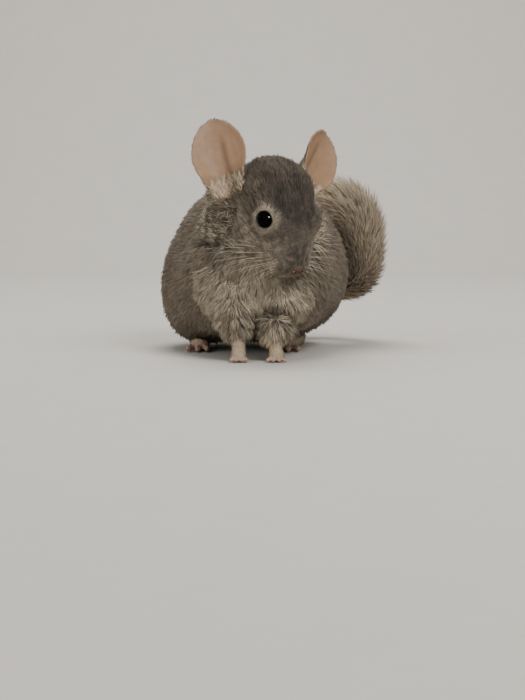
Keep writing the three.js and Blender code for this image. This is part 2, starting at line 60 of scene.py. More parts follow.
# The head's place and turn, and the tail's route, in millimetres before the model was centred
HEAD_AT = np.array([9.3, 15.0, 104.0])
HEAD_YAW = math.radians(35)
HEAD_PITCH = math.radians(39)
EYE_LOCAL = np.array([24.6, 17.4, 1.2])
NOSE_LOCAL = np.array([51.5, 0.0, -20.0])
TAIL_ROUTE = [
    (4, 142, 42), (30, 156, 38), (57, 148, 38), (71, 131, 47), (72, 118, 68), (65, 110, 88), (43, 104, 100),
]
TAIL_WIDTH = [9, 11.5, 13.5, 15.5, 18, 20, 16]
FORELEGS = {
    "left": dict(
        shoulder=(22, 26, 46), elbow=(15, 13, 31), wrist=(10, 4, 13.4), paw=(12, -1, 4.6),
        spread=17, creases=(33.0, 24.8),
    ),
    "right": dict(
        shoulder=(-24, 26, 48), elbow=(-16, 13, 34), wrist=(-12.6, 4, 16), paw=(-11.6, -1, 4.8),
        spread=9, creases=(31.5, 24.0),
    ),
}
HINDFEET = {
    "left": dict(heel=(27, 104, 6), ball=(20, 65, 5)),
    "right": dict(heel=(-41, 104, 6), ball=(-39, 64, 5)),
}
# Each ear's root, forward, left and up of the head, and the ways it points and faces in the frame
EARS = {
    "left": dict(root=(-9, 26, 2), tilt=(0.5, 0.5, 0.71), facing=(0.82, -0.54, 0.18), crease=-4.5),
    "right": dict(root=(-8, -28, -1), tilt=(-0.32, 0.12, 0.94), facing=(-0.14, -0.98, 0.1), crease=5.0),
}
EAR_LENGTH = 45.5
# Toes spring from a knuckle line ahead of the palm or the ball of the foot
FORETOES = dict(apart=2.5, long=6.2, ahead=(-2.4, -2.3))
HINDTOES = dict(apart=4.6, long=15.0, ahead=(-1.0, -2.4))
# The dense middle under the long hair: radii down a foreleg, and a share of the tail's width
FORELEG_CORE = [17, 15, 13, 11.6, 9.2, 6.2]
TAIL_CORE = 0.45
# Each skin's mesh step, and how far a lid and the nose reach from their centres
STEPS = dict(body=0.9, forepaw=0.36, hindfoot=0.55, ear=0.45, lid=0.33, nose=0.2)
LID_RADIUS = 7.4
NOSE_RADIUS = 4.4
WHISKER_RADIUS = 0.14
CLAW_RADIUS = 0.5
WHISKER_ROWS = 4
WHISKER_COLUMNS = 5
# Clearance over the floor, and how deep a tuft's root sits in the skin
FLOOR_GAP = 0.25
ROOT_DEPTH = 0.25
# Rings of the tail's core, places along the tail where its hair changes, and tufts in one lock
TAIL_RINGS = 48
TAIL_STEPS = 120
LOCK_SIZE = 14
CAMERA_AT = np.array([3.4, -890.0, 104.0])
CAMERA_PITCH = math.radians(6.2)
CAMERA_PIXELS = 1425
PICTURE_TALL = 700
SENSOR = 36.0

LEVEL = math.cos(HEAD_PITCH)
FORWARD = np.array([math.sin(HEAD_YAW) * LEVEL, -math.cos(HEAD_YAW) * LEVEL, -math.sin(HEAD_PITCH)])
LEFTWARD = np.array([math.cos(HEAD_YAW), math.sin(HEAD_YAW), 0.0])
UPWARD = np.cross(FORWARD, LEFTWARD)


def from_head(forward, left, up):
    return HEAD_AT + forward * FORWARD + left * LEFTWARD + up * UPWARD


def box_middle(node):
    low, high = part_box(node)
    return (np.array(low) + np.array(high)) / 2


EYE_RIGHT = from_head(EYE_LOCAL[0], -EYE_LOCAL[1], EYE_LOCAL[2])
EYE_LEFT = from_head(*EYE_LOCAL)
EYES = ((1, EYE_LEFT), (-1, EYE_RIGHT))
SHIFT = box_middle("eye_right") / MM - EYE_RIGHT


def placed(point):
    """A place in millimetres before centring, in metres in the frame."""
    return (np.asarray(point, float) + SHIFT) * MM


def unplaced(points):
    return np.asarray(points, float) / MM - SHIFT


# How each part of the coat grows: how deep under the solid its skin lies, its tufts' length and width
# in millimetres, their lift and stray turn in degrees, how many stand on a square millimetre, how far
# they gather in locks, how much their shades differ, how far they wave and how many rings they have
COATS = {
    "head": dict(
        depth=2.1, length=6.6, width=0.8, lift=27, stray=14, density=2.5, clump=0.35, contrast=0.9,
        wave=0.1, rings=2,
    ),
    "neck": dict(
        depth=4.0, length=6.8, width=1.05, lift=36, stray=34, density=1.8, clump=0.8, contrast=1.7,
        wave=1.0, rings=3,
    ),
    "torso": dict(
        depth=3.8, length=7.8, width=1.4, lift=28, stray=11, density=0.88, clump=0.2, contrast=0.5,
        wave=0.12, rings=3,
    ),
    "hindleg": dict(
        depth=3.4, length=7.4, width=1.4, lift=27, stray=11, density=0.9, clump=0.2, contrast=0.5,
        wave=0.12, rings=3,
    ),
    "foreleg": dict(
        depth=1.4, length=8.8, width=0.9, lift=27, stray=10, density=2.2, clump=0.72, contrast=1.5,
        wave=0.15, rings=3,
    ),
    "forepaw": dict(
        depth=0.3, length=1.5, width=0.36, lift=18, stray=12, density=4.2, clump=0.0, contrast=0.4,
        wave=0.0, rings=2,
    ),
    "hindfoot": dict(
        depth=0.3, length=1.9, width=0.5, lift=18, stray=12, density=1.4, clump=0.0, contrast=0.4,
        wave=0.0, rings=2,
    ),
    "tail": dict(
        depth=0.2, length=19.0, width=1.35, lift=42, stray=8, density=2.0, clump=0.18, contrast=0.6,
        wave=0.1, rings=3,
    ),
}
EAR_COAT = dict(
    length=1.7, width=0.34, lift=18, stray=16, density=2.6, clump=0.0, contrast=0.5, wave=0.1, rings=2,
)
ZONES = list(COATS)
SIDES = ("left", "right")
LIMBS = ("hindleg", "foreleg", "hindfoot", "forepaw")
FLESH = [
    "torso", "neck", "head", *(f"{limb}_{side}" for limb in LIMBS for side in SIDES),
    "tail_base", "tail_middle", "tail_tip",
]


# Arrays

def kind_of(node):
    return node.split("_")[0]


def in_zone(zone, *names):
    return np.isin(zone, [ZONES.index(name) for name in names])


def unit(vectors):
    return vectors / np.maximum(np.linalg.norm(vectors, axis=-1, keepdims=True), 1e-9)


def ease(values, low, high):
    t = np.clip((values - low) / (high - low), 0, 1)
    return t * t * (3 - 2 * t)


def near(points, centre, inner, outer):
    """1 within `inner` of a place, falling to 0 at `outer`."""
    return 1 - ease(np.linalg.norm(points - np.asarray(centre), axis=-1), inner, outer)


def read_mesh(mesh):
    count = len(mesh.vertices)
    points = np.empty(count * 3, np.float32)
    mesh.vertices.foreach_get("co", points)
    mesh.calc_loop_triangles()
    corners = np.empty(len(mesh.loop_triangles) * 3, np.int32)
    mesh.loop_triangles.foreach_get("vertices", corners)
    return points.reshape(-1, 3).astype(float), corners.reshape(-1, 3)


def vertex_normals(points, corners):
    a, b, c = (points[corners[:, i]] for i in range(3))
    across = np.cross(b - a, c - a)
    normals = np.zeros_like(points)
    for i in range(3):
        np.add.at(normals, corners[:, i], across)
    return unit(normals)


def edges_of(corners):
    pairs = np.concatenate([corners[:, [0, 1]], corners[:, [1, 2]], corners[:, [2, 0]]])
    pairs.sort(axis=1)
    return np.unique(pairs, axis=0)


def smoothed(values, edges, rounds, share=0.5):
    """Values on a mesh's points, each drawn towards the mean of its neighbours."""
    columns = values.astype(float).reshape(len(values), -1)
    count = np.maximum(np.bincount(edges.ravel(), minlength=len(values)), 1).astype(float)[:, None]
    first, second = edges.T
    for _ in range(rounds):
        total = np.stack([
            np.bincount(first, column[second], len(values)) + np.bincount(second, column[first], len(values))
            for column in columns.T
        ], 1)
        columns = columns + share * (total / count - columns)
    return columns.reshape(values.shape)


def mesh_from(name, points, triangles):
    mesh = bpy.data.meshes.new(name)
    mesh.vertices.add(len(points))
    mesh.vertices.foreach_set("co", np.asarray(points, np.float32).ravel())
    mesh.loops.add(triangles.size)
    mesh.loops.foreach_set("vertex_index", triangles.astype(np.int32).ravel())
    mesh.polygons.add(len(triangles))
    mesh.polygons.foreach_set("loop_start", np.arange(0, triangles.size, 3, dtype=np.int32))
    mesh.update(calc_edges=True)
    return mesh


def add_piece(name, mesh, material):
    piece = bpy.data.objects.new(name, mesh)
    bpy.context.scene.collection.objects.link(piece)
    mesh.materials.clear()
    mesh.materials.append(material)
    mesh.polygons.foreach_set("use_smooth", np.ones(len(mesh.polygons), bool))
    return piece


def put_attribute(mesh, name, kind, values):
    attribute = mesh.attributes.new(name, kind, "POINT")
    field = "vector" if kind == "FLOAT_VECTOR" else "value"
    dtype = np.int32 if kind == "INT" else np.float32
    attribute.data.foreach_set(field, np.asarray(values, dtype).ravel())


def get_attribute(mesh, name, width=1):
    attribute = mesh.attributes[name]
    values = np.empty(len(mesh.vertices) * width, np.int32 if attribute.data_type == "INT" else np.float32)
    attribute.data.foreach_get("vector" if width == 3 else "value", values)
    return values.reshape(-1, width) if width > 1 else values


# Geometry of the frame

def cad_copy(name, nodes, voxel, extra=None):
    """The named CAD solids joined into one closed surface with no gaps."""
    joined = bmesh.new()
    for node in nodes:
        joined.from_mesh(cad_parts[node].data)
    if extra is not None:
        joined.from_mesh(extra)
    bmesh.ops.remove_doubles(joined, verts=joined.verts, dist=1e-7)
    mesh = bpy.data.meshes.new(name)
    joined.to_mesh(mesh)
    joined.free()
    return remeshed(mesh, voxel)


def remeshed(mesh, voxel):
    holder = bpy.data.objects.new("remeshing", mesh)
    bpy.context.scene.collection.objects.link(holder)
    step = holder.modifiers.new("voxels", "REMESH")
    step.mode = "VOXEL"
    step.voxel_size = voxel
    evaluated = holder.evaluated_get(bpy.context.evaluated_depsgraph_get())
    result = bpy.data.meshes.new_from_object(evaluated)
    bpy.data.objects.remove(holder)
    bpy.data.meshes.remove(mesh)
    return result


def curve_points(route, count):
    """Points along a smooth curve through a route, and the direction at each."""
    route = np.asarray(route, float)
    before = 2 * route[0] - route[1]
    after = 2 * route[-1] - route[-2]
    padded = np.vstack([before, route, after])
    t = np.linspace(0, len(route) - 1 - 1e-6, count)
    i = t.astype(int)
    u = (t - i)[:, None]
    a, b, c, d = (padded[i + k] for k in range(4))
    bend = (2 * a - 5 * b + 4 * c - d) * u ** 2
    swing = (3 * b - a - 3 * c + d) * u ** 3
    points = 0.5 * (2 * b + (c - a) * u + bend + swing)
    return points, unit(np.gradient(points, axis=0))


def tubes_mesh(name, tubes):
    """Closed tubes, each round a row of points, as one mesh."""
    verts = []
    faces = []
    start = 0
    for points, radii in tubes:
        own, corners = tube(points, radii)
        verts.append(own)
        faces.append(corners + start)
        start += len(own)
    return mesh_from(name, np.concatenate(verts), np.concatenate(faces))


def tube(points, radii, sides=20):
    along = unit(np.gradient(points, axis=0))
    out = unit(np.cross(along, np.array([0.3, 0.5, 0.8])))
    side = np.cross(along, out)
    angle = np.arange(sides) * 2 * math.pi / sides
    ring = np.cos(angle)[None, :, None] * out[:, None] + np.sin(angle)[None, :, None] * side[:, None]
    verts = (points[:, None] + ring * np.asarray(radii)[:, None, None]).reshape(-1, 3)
    a = np.arange(sides)
    b = (a + 1) % sides
    faces = []
    for row in range(len(points) - 1):
        low = row * sides
        faces.append(np.stack([low + a, low + b, low + sides + b], 1))
        faces.append(np.stack([low + a, low + sides + b, low + sides + a], 1))
    ends = len(verts)
    verts = np.vstack([verts, points[0], points[-1]])
    last = (len(points) - 1) * sides
    faces.append(np.stack([b, a, np.full(sides, ends)], 1))
    faces.append(np.stack([last + a, last + b, np.full(sides, ends + 1)], 1))
    return verts, np.concatenate(faces)


# Shader groups and materials

COAT_COLOURS = {
    "Grey": (0.158, 0.126, 0.09),
    "Pale": (0.5, 0.42, 0.31),
    "Dark": (0.042, 0.033, 0.025),
    "Cream": (0.73, 0.575, 0.405),
}


def new_group(name, inputs, outputs):
    group = bpy.data.node_groups.new(name, "ShaderNodeTree")
    for label, kind, default in inputs:
        socket = group.interface.new_socket(label, in_out="INPUT", socket_type=kind)
        socket.default_value = default
    for label, kind in outputs:
        group.interface.new_socket(label, in_out="OUTPUT", socket_type=kind)
    return group


def mix_colour(tree, factor, first, second):
    node = tree.nodes.new("ShaderNodeMix")
    node.data_type = "RGBA"
    for socket, value in ((node.inputs[0], factor), (node.inputs[6], first), (node.inputs[7], second)):
        if isinstance(value, bpy.types.NodeSocket):
            tree.links.new(value, socket)
        else:
            socket.default_value = value
    return node.outputs[2]


def arithmetic(tree, operation, first, second, third=None):
    node = tree.nodes.new("ShaderNodeMath")
    node.operation = operation
    for socket, value in zip(node.inputs, (first, second, third)):
        if isinstance(value, bpy.types.NodeSocket):
            tree.links.new(value, socket)
        elif value is not None:
            socket.default_value = value
    return node.outputs[0]


def attribute(tree, name, output="Fac"):
    node = tree.nodes.new("ShaderNodeAttribute")
    node.attribute_name = name
    return node.outputs[output]


def own_place(tree):
    return tree.nodes.new("ShaderNodeTexCoord").outputs["Object"]


def noise(tree, vector, scale, detail=3.0, rough=0.6):
    node = tree.nodes.new("ShaderNodeTexNoise")
    node.inputs["Scale"].default_value = scale
    node.inputs["Detail"].default_value = detail
    node.inputs["Roughness"].default_value = rough
    tree.links.new(vector, node.inputs["Vector"])
    return node.outputs["Fac"]


def stretched(tree, value, low, high):
    node = tree.nodes.new("ShaderNodeMapRange")
    node.inputs["From Min"].default_value = low
    node.inputs["From Max"].default_value = high
    tree.links.new(value, node.inputs["Value"])
    return node.outputs["Result"]


def markings_group():
    """The colour of skin and coat from the marks that both carry at each root."""
    group = new_group(
        "Coat markings",
        [(label, "NodeSocketColor", (*colour, 1)) for label, colour in COAT_COLOURS.items()],
        [("Color", "NodeSocketColor"), ("Fleck", "NodeSocketFloat")],
    )
    inside = group.nodes.new("NodeGroupInput")
    outside = group.nodes.new("NodeGroupOutput")
    root = attribute(group, "root_at", "Vector")
    broad = stretched(group, noise(group, root, 60.0), 0.35, 0.65)
    fine = stretched(group, noise(group, root, 290.0, 2.0), 0.4, 0.6)
    flecks = arithmetic(group, "MULTIPLY", fine, attribute(group, "fleck"))
    pale = arithmetic(group, "ADD", attribute(group, "pale"), flecks)
    gaps = arithmetic(group, "MULTIPLY", arithmetic(group, "SUBTRACT", 1.0, fine), attribute(group, "fleck"))
    shade = arithmetic(group, "MULTIPLY_ADD", broad, 0.22, attribute(group, "dark"))
    shade = arithmetic(group, "MULTIPLY_ADD", gaps, 0.75, shade)
    colour = mix_colour(group, pale, inside.outputs["Grey"], inside.outputs["Pale"])
    colour = mix_colour(group, shade, colour, inside.outputs["Dark"])
    colour = mix_colour(group, attribute(group, "cream"), colour, inside.outputs["Cream"])
    group.links.new(colour, outside.inputs["Color"])
    group.links.new(fine, outside.inputs["Fleck"])
    return group


def principled(name, roughness, **constants):
    material = bpy.data.materials.new(name)
    material.use_nodes = True
    shader = material.node_tree.nodes["Principled BSDF"]
    shader.inputs["Roughness"].default_value = roughness
    for label, value in constants.items():
        shader.inputs[label.replace("_", " ")].default_value = value
    return material, material.node_tree, shader


def bump(tree, shader, height, distance, strength=0.5):
    node = tree.nodes.new("ShaderNodeBump")
    node.inputs["Distance"].default_value = distance
    node.inputs["Strength"].default_value = strength
    tree.links.new(height, node.inputs["Height"])
    tree.links.new(node.outputs["Normal"], shader.inputs["Normal"])


def group_node(tree, group):
    node = tree.nodes.new("ShaderNodeGroup")
    node.node_tree = group
    return node


def coat_material(group):
    material, tree, shader = principled("chinchilla coat", 0.8, Sheen_Weight=0.05, Sheen_Roughness=0.5)
    markings = group_node(tree, group)
    reach = attribute(tree, "reach")
    chance = attribute(tree, "chance")
    shade = arithmetic(tree, "MULTIPLY_ADD", attribute(tree, "pale"), 0.35, 0.42)
    furry = arithmetic(tree, "MULTIPLY_ADD", attribute(tree, "cream"), -0.9, 1.0)
    shade = arithmetic(tree, "MULTIPLY", shade, furry)
    root_dark = mix_colour(tree, shade, markings.outputs["Color"], (0.03, 0.026, 0.022, 1))
    along = mix_colour(tree, stretched(tree, reach, 0.0, 0.4), root_dark, markings.outputs["Color"])
    light = arithmetic(tree, "MULTIPLY_ADD", chance, 0.95, 0.5)
    scaled = tree.nodes.new("ShaderNodeVectorMath")
    scaled.operation = "SCALE"
    tree.links.new(along, scaled.inputs[0])
    tree.links.new(light, scaled.inputs["Scale"])
    tree.links.new(scaled.outputs[0], shader.inputs["Base Color"])
    return material


def skin_material(group):
    material, tree, shader = principled("chinchilla skin", 0.9)
    markings = group_node(tree, group)
    shaded = mix_colour(tree, 0.45, markings.outputs["Color"], (0.04, 0.035, 0.03, 1))
    pink = noise(tree, attribute(tree, "root_at", "Vector"), 500.0)
    flesh = mix_colour(tree, pink, (0.42, 0.25, 0.19, 1), (0.6, 0.42, 0.34, 1))
    colour = mix_colour(tree, attribute(tree, "bare"), shaded, flesh)
    tree.links.new(colour, shader.inputs["Base Color"])
    bump(tree, shader, markings.outputs["Fleck"], 0.0006)
    return material


def bare_material(name, light, deep, dark, roughness):
    """Thin naked skin with a fine grain and darker patches, mixed to its dark tone at dark edges and where
    shade is painted.
    """
    material, tree, shader = principled(name, roughness, Subsurface_Weight=0.12, Subsurface_Scale=0.002)
    where = own_place(tree)
    patches = stretched(tree, noise(tree, where, 150.0, 5.0, 0.7), 0.3, 0.72)
    grain = noise(tree, where, 1400.0, 2.0)
    colour = mix_colour(tree, patches, (*light, 1), (*deep, 1))
    # dark tone: the skin's own dark edges and backs, and painted shade in folds, recesses and nostrils
    colour = mix_colour(tree, attribute(tree, "dark_skin_and_shade"), colour, (*dark, 1))
    tree.links.new(colour, shader.inputs["Base Color"])
    bump(tree, shader, grain, 0.0003, 0.4)
    return material


def eye_material():
    material, tree, shader = principled("eye", 0.05, Specular_IOR_Level=0.28)
    tint = noise(tree, own_place(tree), 300.0)
    colour = mix_colour(tree, tint, (0.002, 0.0015, 0.0015, 1), (0.006, 0.004, 0.003, 1))
    tree.links.new(colour, shader.inputs["Base Color"])
    return material


def horn_material(name, light, dark, roughness):
    material, tree, shader = principled(name, roughness)
    colour = mix_colour(tree, noise(tree, own_place(tree), 700.0), (*light, 1), (*dark, 1))
    tree.links.new(colour, shader.inputs["Base Color"])
    return material


MATERIALS = {}
# Light, deeper and dark tones and roughness of each bare skin; the dark tone also serves as painted shade
BARE_SKINS = {
    "ear": ((0.41, 0.257, 0.153), (0.32, 0.193, 0.114), (0.085, 0.06, 0.045), 0.55),
    "nose": ((0.15, 0.096, 0.074), (0.11, 0.07, 0.054), (0.04, 0.025, 0.02), 0.4),
    "lid": ((0.26, 0.21, 0.16), (0.2, 0.155, 0.12), (0.012, 0.01, 0.009), 0.45),
}


def make_materials():
    group = markings_group()
    MATERIALS["coat"] = coat_material(group)
    MATERIALS["skin"] = skin_material(group)
    for name, tones in BARE_SKINS.items():
        MATERIALS[name] = bare_material(f"{name} skin", *tones)
    MATERIALS["eye"] = eye_material()
    MATERIALS["claw"] = horn_material("claw", (0.36, 0.29, 0.22), (0.2, 0.15, 0.11), 0.3)
    MATERIALS["whisker"] = horn_material("whisker", (0.72, 0.67, 0.58), (0.5, 0.44, 0.36), 0.4)


# Marks that skin and coat share

def head_frame(points):
    """How far forward, left and up of the head's place each point lies, in millimetres."""
    return (points - HEAD_AT) @ np.stack([FORWARD, LEFTWARD, UPWARD], 1)


def eye_gaps(points):
    return np.min([np.linalg.norm(points - centre, axis=1) for _, centre in EYES], axis=0)


def eye_axis(side):
    """The way an eye looks: 1 for the left, -1 for the right."""
    return unit(LEFTWARD * side * 0.86 + FORWARD * 0.42 + UPWARD * 0.28)


def crease_of(points):
    """1 in the folds across the fur of the forelegs, where shade is painted and the tufts grow shorter."""
    value = np.zeros(len(points))
    for side, leg in zip((1, -1), FORELEGS.values()):
        tilt = 0.12 * (points[:, 0] - leg["elbow"][0])
        for level_at in leg["creases"]:
            fold = np.exp(-(((points[:, 2] - level_at - tilt) / 1.5) ** 2))
            value = np.where(points[:, 0] * side > 0, np.maximum(value, fold), value)
    return value


def fluff_of(points):
    """1 in the loose hair above the left foreleg."""
    return near(points, (26, 14, 74), 10, 30)


def marks(points, normals, zone):
    """Pale, dark, cream and flecked shares, and bareness, at places given in millimetres; the dark share also
    holds painted shade.
    """
    local = head_frame(points)
    head = in_zone(zone, "head")
    gap = eye_gaps(points)
    pale = 0.08 - 0.06 * head
    dark = np.zeros(len(points))
    # head: dark crown and bridge, light cheeks, lips and ring round each eye
    crown = ease(local[:, 2], -8, 10) * ease(-np.abs(local[:, 1]), -30, -15)
    bridge = ease(local[:, 0], 26, 34) * ease(-np.abs(local[:, 1]), -9, -3) * ease(local[:, 2], -22, -12)
    around = (1 - ease(gap, 8.0, 12.5)) * np.where(local[:, 1] > 0, 0.4, 1.0)
    dark += head * np.maximum(0.66 * crown, 0.42 * bridge) * (1 - around)
    dark += head * 0.4 * near(points, EYE_RIGHT + 11 * UPWARD + 3 * FORWARD, 2, 8)
    pale += head * 0.24 * ease(-local[:, 2], 2, 20) * ease(np.abs(local[:, 1]), 4, 13)
    pale += head * 0.5 * around
    pale += head * 0.42 * near(local, (44, 0, -29), 4, 11)
    pale += head * 0.38 * near(np.abs(local), (38, 9, 22), 4, 12)
    # chest, belly and forelegs are lighter
    torso = in_zone(zone, "torso")
    front = ease(-normals[:, 1], 0.1, 0.8)
    pale += torso * 0.8 * front * near(points, (-1, 2, 42), 8, 36)
    pale += torso * 0.5 * ease(-normals[:, 2], 0.25, 0.85) * ease(-points[:, 2], -40, -8)
    # painted shade: the body's flanks darker low down towards the floor
    dark += torso * 0.3 * ease(-points[:, 2], -26, -4) * (1 - front)
    neck = in_zone(zone, "neck")
    pale += neck * (0.02 + 0.2 * ease(local[:, 1], 4, 16))
    legs = in_zone(zone, "foreleg")
    pale += legs * (0.88 - 0.35 * ease(points[:, 2], 36, 56))
    # painted shade: the folds across the forelegs' fur darkened
    dark += legs * 0.4 * crease_of(points)
    feet = in_zone(zone, "forepaw", "hindfoot")
    cream = np.maximum(feet * 0.94, legs * ease(-points[:, 2], -20, -14) * 0.8)
    tail = in_zone(zone, "tail")
    inner = ease(-points[:, 0], -70, -50) * ease(points[:, 2], 70, 95)
    pale += tail * (0.24 + 0.62 * inner)
    # painted light: the tail lightened at its bend near the rump, against the shade between its tufts;
    # elsewhere its cream is its own paler tone
    cream = np.maximum(cream, tail * (0.2 + 0.26 * inner + 0.15 * near(points, (64, 142, 42), 8, 26)))
    pale += 0.12 * torso * fluff_of(points)
    bare = near(points, from_head(*NOSE_LOCAL), 3.4, 4.6) * head
    for leg in FORELEGS.values():
        ahead = leg["paw"][1] - 3.4 - points[:, 1]
        near_paw = np.abs(points[:, 0] - leg["paw"][0]) < 11
        bare = np.maximum(bare, in_zone(zone, "forepaw") * near_paw * ease(ahead, 0, 1.5) * 0.85)
    for foot in HINDFEET.values():
        ahead = foot["ball"][1] - 3 - points[:, 1]
        near_foot = np.abs(points[:, 0] - foot["ball"][0]) < 16
        bare = np.maximum(bare, in_zone(zone, "hindfoot") * near_foot * ease(ahead, 0, 3) * 0.85)
    amounts = {"head": 0.2, "neck": 0.85, "torso": 0.12, "hindleg": 0.1, "foreleg": 0.35, "tail": 0.1}
    fleck = np.array([amounts.get(name, 0.0) for name in ZONES])[zone]
    fleck += head * 0.2 * ease(-local[:, 2], 0, 14) + torso * 0.2 * near(points, (-20, 22, 62), 14, 40)
    pale, dark = np.clip(pale, 0, 1), np.clip(dark, 0, 1)
    return {"pale": pale, "dark": dark, "cream": cream, "bare": bare, "fleck": fleck}


def lie_of(points, normals, zone):
    """Which way the coat lies at places given in millimetres."""
    nose = from_head(*NOSE_LOCAL)
    lie = np.tile(np.array([0.0, 1.0, -0.35]), (len(points), 1))
    from_nose = unit(points - nose)
    head = in_zone(zone, "head")
    neck = in_zone(zone, "neck")
    lie[head] = from_nose[head]
    lie[neck] = unit(from_nose[neck] + np.array([0, 0.25, -0.3]))
    for side, centre in EYES:
        away = points - centre
        axis = eye_axis(side)
        away -= (away @ axis)[:, None] * axis
        close = near(points, centre, 7.5, 12.0)[:, None]
        lie = np.where(head[:, None], unit(lie + 2.2 * close * unit(away)), lie)
    torso = in_zone(zone, "torso")
    facing = ease(-normals[:, 1], 0.2, 0.8)[:, None]
    flank = np.stack([0.25 * np.sign(points[:, 0]), np.full(len(points), 0.9), np.full(len(points), -0.5)], 1)
    chest = np.stack([0.25 * np.sign(points[:, 0]), np.full(len(points), 0.1), np.full(len(points), -1.0)], 1)
    lie[torso] = (flank * (1 - facing) + chest * facing)[torso]
    haunch = in_zone(zone, "hindleg")
    lie[haunch] = (flank + np.array([0, -0.1, -0.4]))[haunch]
    legs = in_zone(zone, "foreleg")
    middle = np.where(points[:, 0] > 0, 12.0, -13.0)
    aside = 0.03 * (points[:, 0] - middle)
    lie[legs] = np.stack([aside, np.full(len(points), 0.25), np.full(len(points), -1.0)], 1)[legs]
    feet = in_zone(zone, "forepaw", "hindfoot")
    lie[feet] = np.array([0, -1.0, -0.3])
    return unit(lie)


def tail_line(count):
    return curve_points(TAIL_ROUTE, count)


# Skin

def core_tubes():
    """The dense middles of the tail and the forelegs, inside their long hair."""
    route, _ = tail_line(TAIL_RINGS)
    share = np.linspace(0, 1, len(route))
    width = np.interp(share, np.linspace(0, 1, len(TAIL_WIDTH)), TAIL_WIDTH)
    tail_radii = TAIL_CORE * width * np.sqrt(np.clip((1.02 - share) / 0.12, 0.05, 1))
    tubes = [(placed(route), tail_radii * MM)]
    for leg in FORELEGS.values():
        shoulder, elbow, wrist = (np.array(leg[key], float) for key in ("shoulder", "elbow", "wrist"))
        cuff = wrist + (0, 1, 3)
        line = np.vstack([
            shoulder, (shoulder + elbow) / 2, elbow, (elbow + cuff) / 2, cuff, wrist + (0, 0.5, -1.5),
        ])
        tubes.append((placed(line), np.array(FORELEG_CORE) * MM))
    return tubes, route, tail_radii


def body_shell(tubes, route, tail_radii):
    """The body's surface with its joints closed: places, corners, zones, normals and coat depth."""
    kept = [node for node in FLESH if kind_of(node) in ("torso", "neck", "head", "hindleg")]
    nodes = kept + ["foreleg_left", "foreleg_right"]
    cores = tubes_mesh("cores", tubes)
    mesh = cad_copy("skin", kept, STEPS["body"] * MM, cores)
    bpy.data.meshes.remove(cores)
    points, corners = read_mesh(mesh)
    bpy.data.meshes.remove(mesh)
    edges = edges_of(corners)
    zone = zones_of(points, nodes, route, tail_radii)
    head = in_zone(zone, "head")
    share = smoothed(head, edges, 9)[:, None]
    leg = smoothed(in_zone(zone, "foreleg"), edges, 12)[:, None]
    flowing = smoothed(points, edges, 20)
    flowing = flowing * (1 - leg) + smoothed(flowing, edges, 40) * leg
    points = flowing * (1 - share) + smoothed(points, edges, 4) * share
    normals = unit(smoothed(vertex_normals(points, corners), edges, 5))
    spots = unplaced(points)
    depth = np.array([COATS[z]["depth"] for z in ZONES])[zone]
    forward = head_frame(spots)[:, 0]
    depth = np.where(head, depth * (1 - 0.66 * ease(forward, 14, 42)), depth)
    depth = smoothed(depth, edges, 12)
    depth *= 1 - 0.7 * (1 - ease(eye_gaps(spots), 7.5, 11))
    return points, corners, zone, normals, depth


def foot_shell(node, ankle, radius):
    """A foot with each toe kept, its ankle carried up into the leg's long hair."""
    cuff = tubes_mesh("cuff", [(placed(np.array(ankle, float)), np.full(len(ankle), radius * MM))])
    kind = kind_of(node)
    mesh = cad_copy(node, [node], STEPS[kind] * MM, cuff)
    bpy.data.meshes.remove(cuff)
    points, corners = read_mesh(mesh)
    bpy.data.meshes.remove(mesh)
    edges = edges_of(corners)
    points = smoothed(points, edges, 5)
    normals = unit(smoothed(vertex_normals(points, corners), edges, 2))
    zone = np.full(len(points), ZONES.index(kind))
    return points, corners, zone, normals, np.full(len(points), COATS[kind]["depth"])


def make_skin():
    """One skin for body, tail and feet, inside the solids by the depth of the coat over it."""
    tubes, route, tail_radii = core_tubes()
    shells = [body_shell(tubes, route, tail_radii)]
    for side, leg in FORELEGS.items():
        paw, wrist, elbow = (np.array(leg[key], float) for key in ("paw", "wrist", "elbow"))
        ankle = [paw + (0, 1.5, 2), wrist + (0, 0.2, 0), wrist * 0.75 + elbow * 0.25]
        shells.append(foot_shell(f"forepaw_{side}", ankle, 4.1))
        middle = np.add(HINDFEET[side]["heel"], HINDFEET[side]["ball"]) / 2
        ankle = [middle, middle + (0, 0, 6), middle + (0, 0, 12)]
        shells.append(foot_shell(f"hindfoot_{side}", ankle, 5.6))
    starts = np.cumsum([0] + [len(shell[0]) for shell in shells])
    corners = np.concatenate([shell[1] + start for shell, start in zip(shells, starts)]).astype(np.int64)
    points, zone, normals, depth = (np.concatenate([shell[i] for shell in shells]) for i in (0, 2, 3, 4))
    edges = edges_of(corners)
    spots = unplaced(points)
    lie = lie_of(spots, normals, zone)
    tail = in_zone(zone, "tail")
    _, along = tail_line(TAIL_RINGS)
    gaps = np.linalg.norm(spots[tail][:, None] - route[None], axis=2)
    lie[tail] = along[np.argmin(gaps, axis=1)]
    lie = smoothed(lie, edges, 12)
    carried = {name: smoothed(values, edges, 3) for name, values in marks(spots, normals, zone).items()}
    points = points - normals * depth[:, None] * MM
    points[:, 2] = np.maximum(points[:, 2], FLOOR_GAP * MM)

    skin_mesh = mesh_from("skin", points, corners)
    put_attribute(skin_mesh, "lie", "FLOAT_VECTOR", lie)
    put_attribute(skin_mesh, "zone", "INT", zone)
    put_attribute(skin_mesh, "root_at", "FLOAT_VECTOR", points)
    for name, values in carried.items():
        put_attribute(skin_mesh, name, "FLOAT", values)
    skin = add_piece("skin", skin_mesh, MATERIALS["skin"])
    unwrap(skin)
    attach(skin, "root")
    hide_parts(*FLESH)


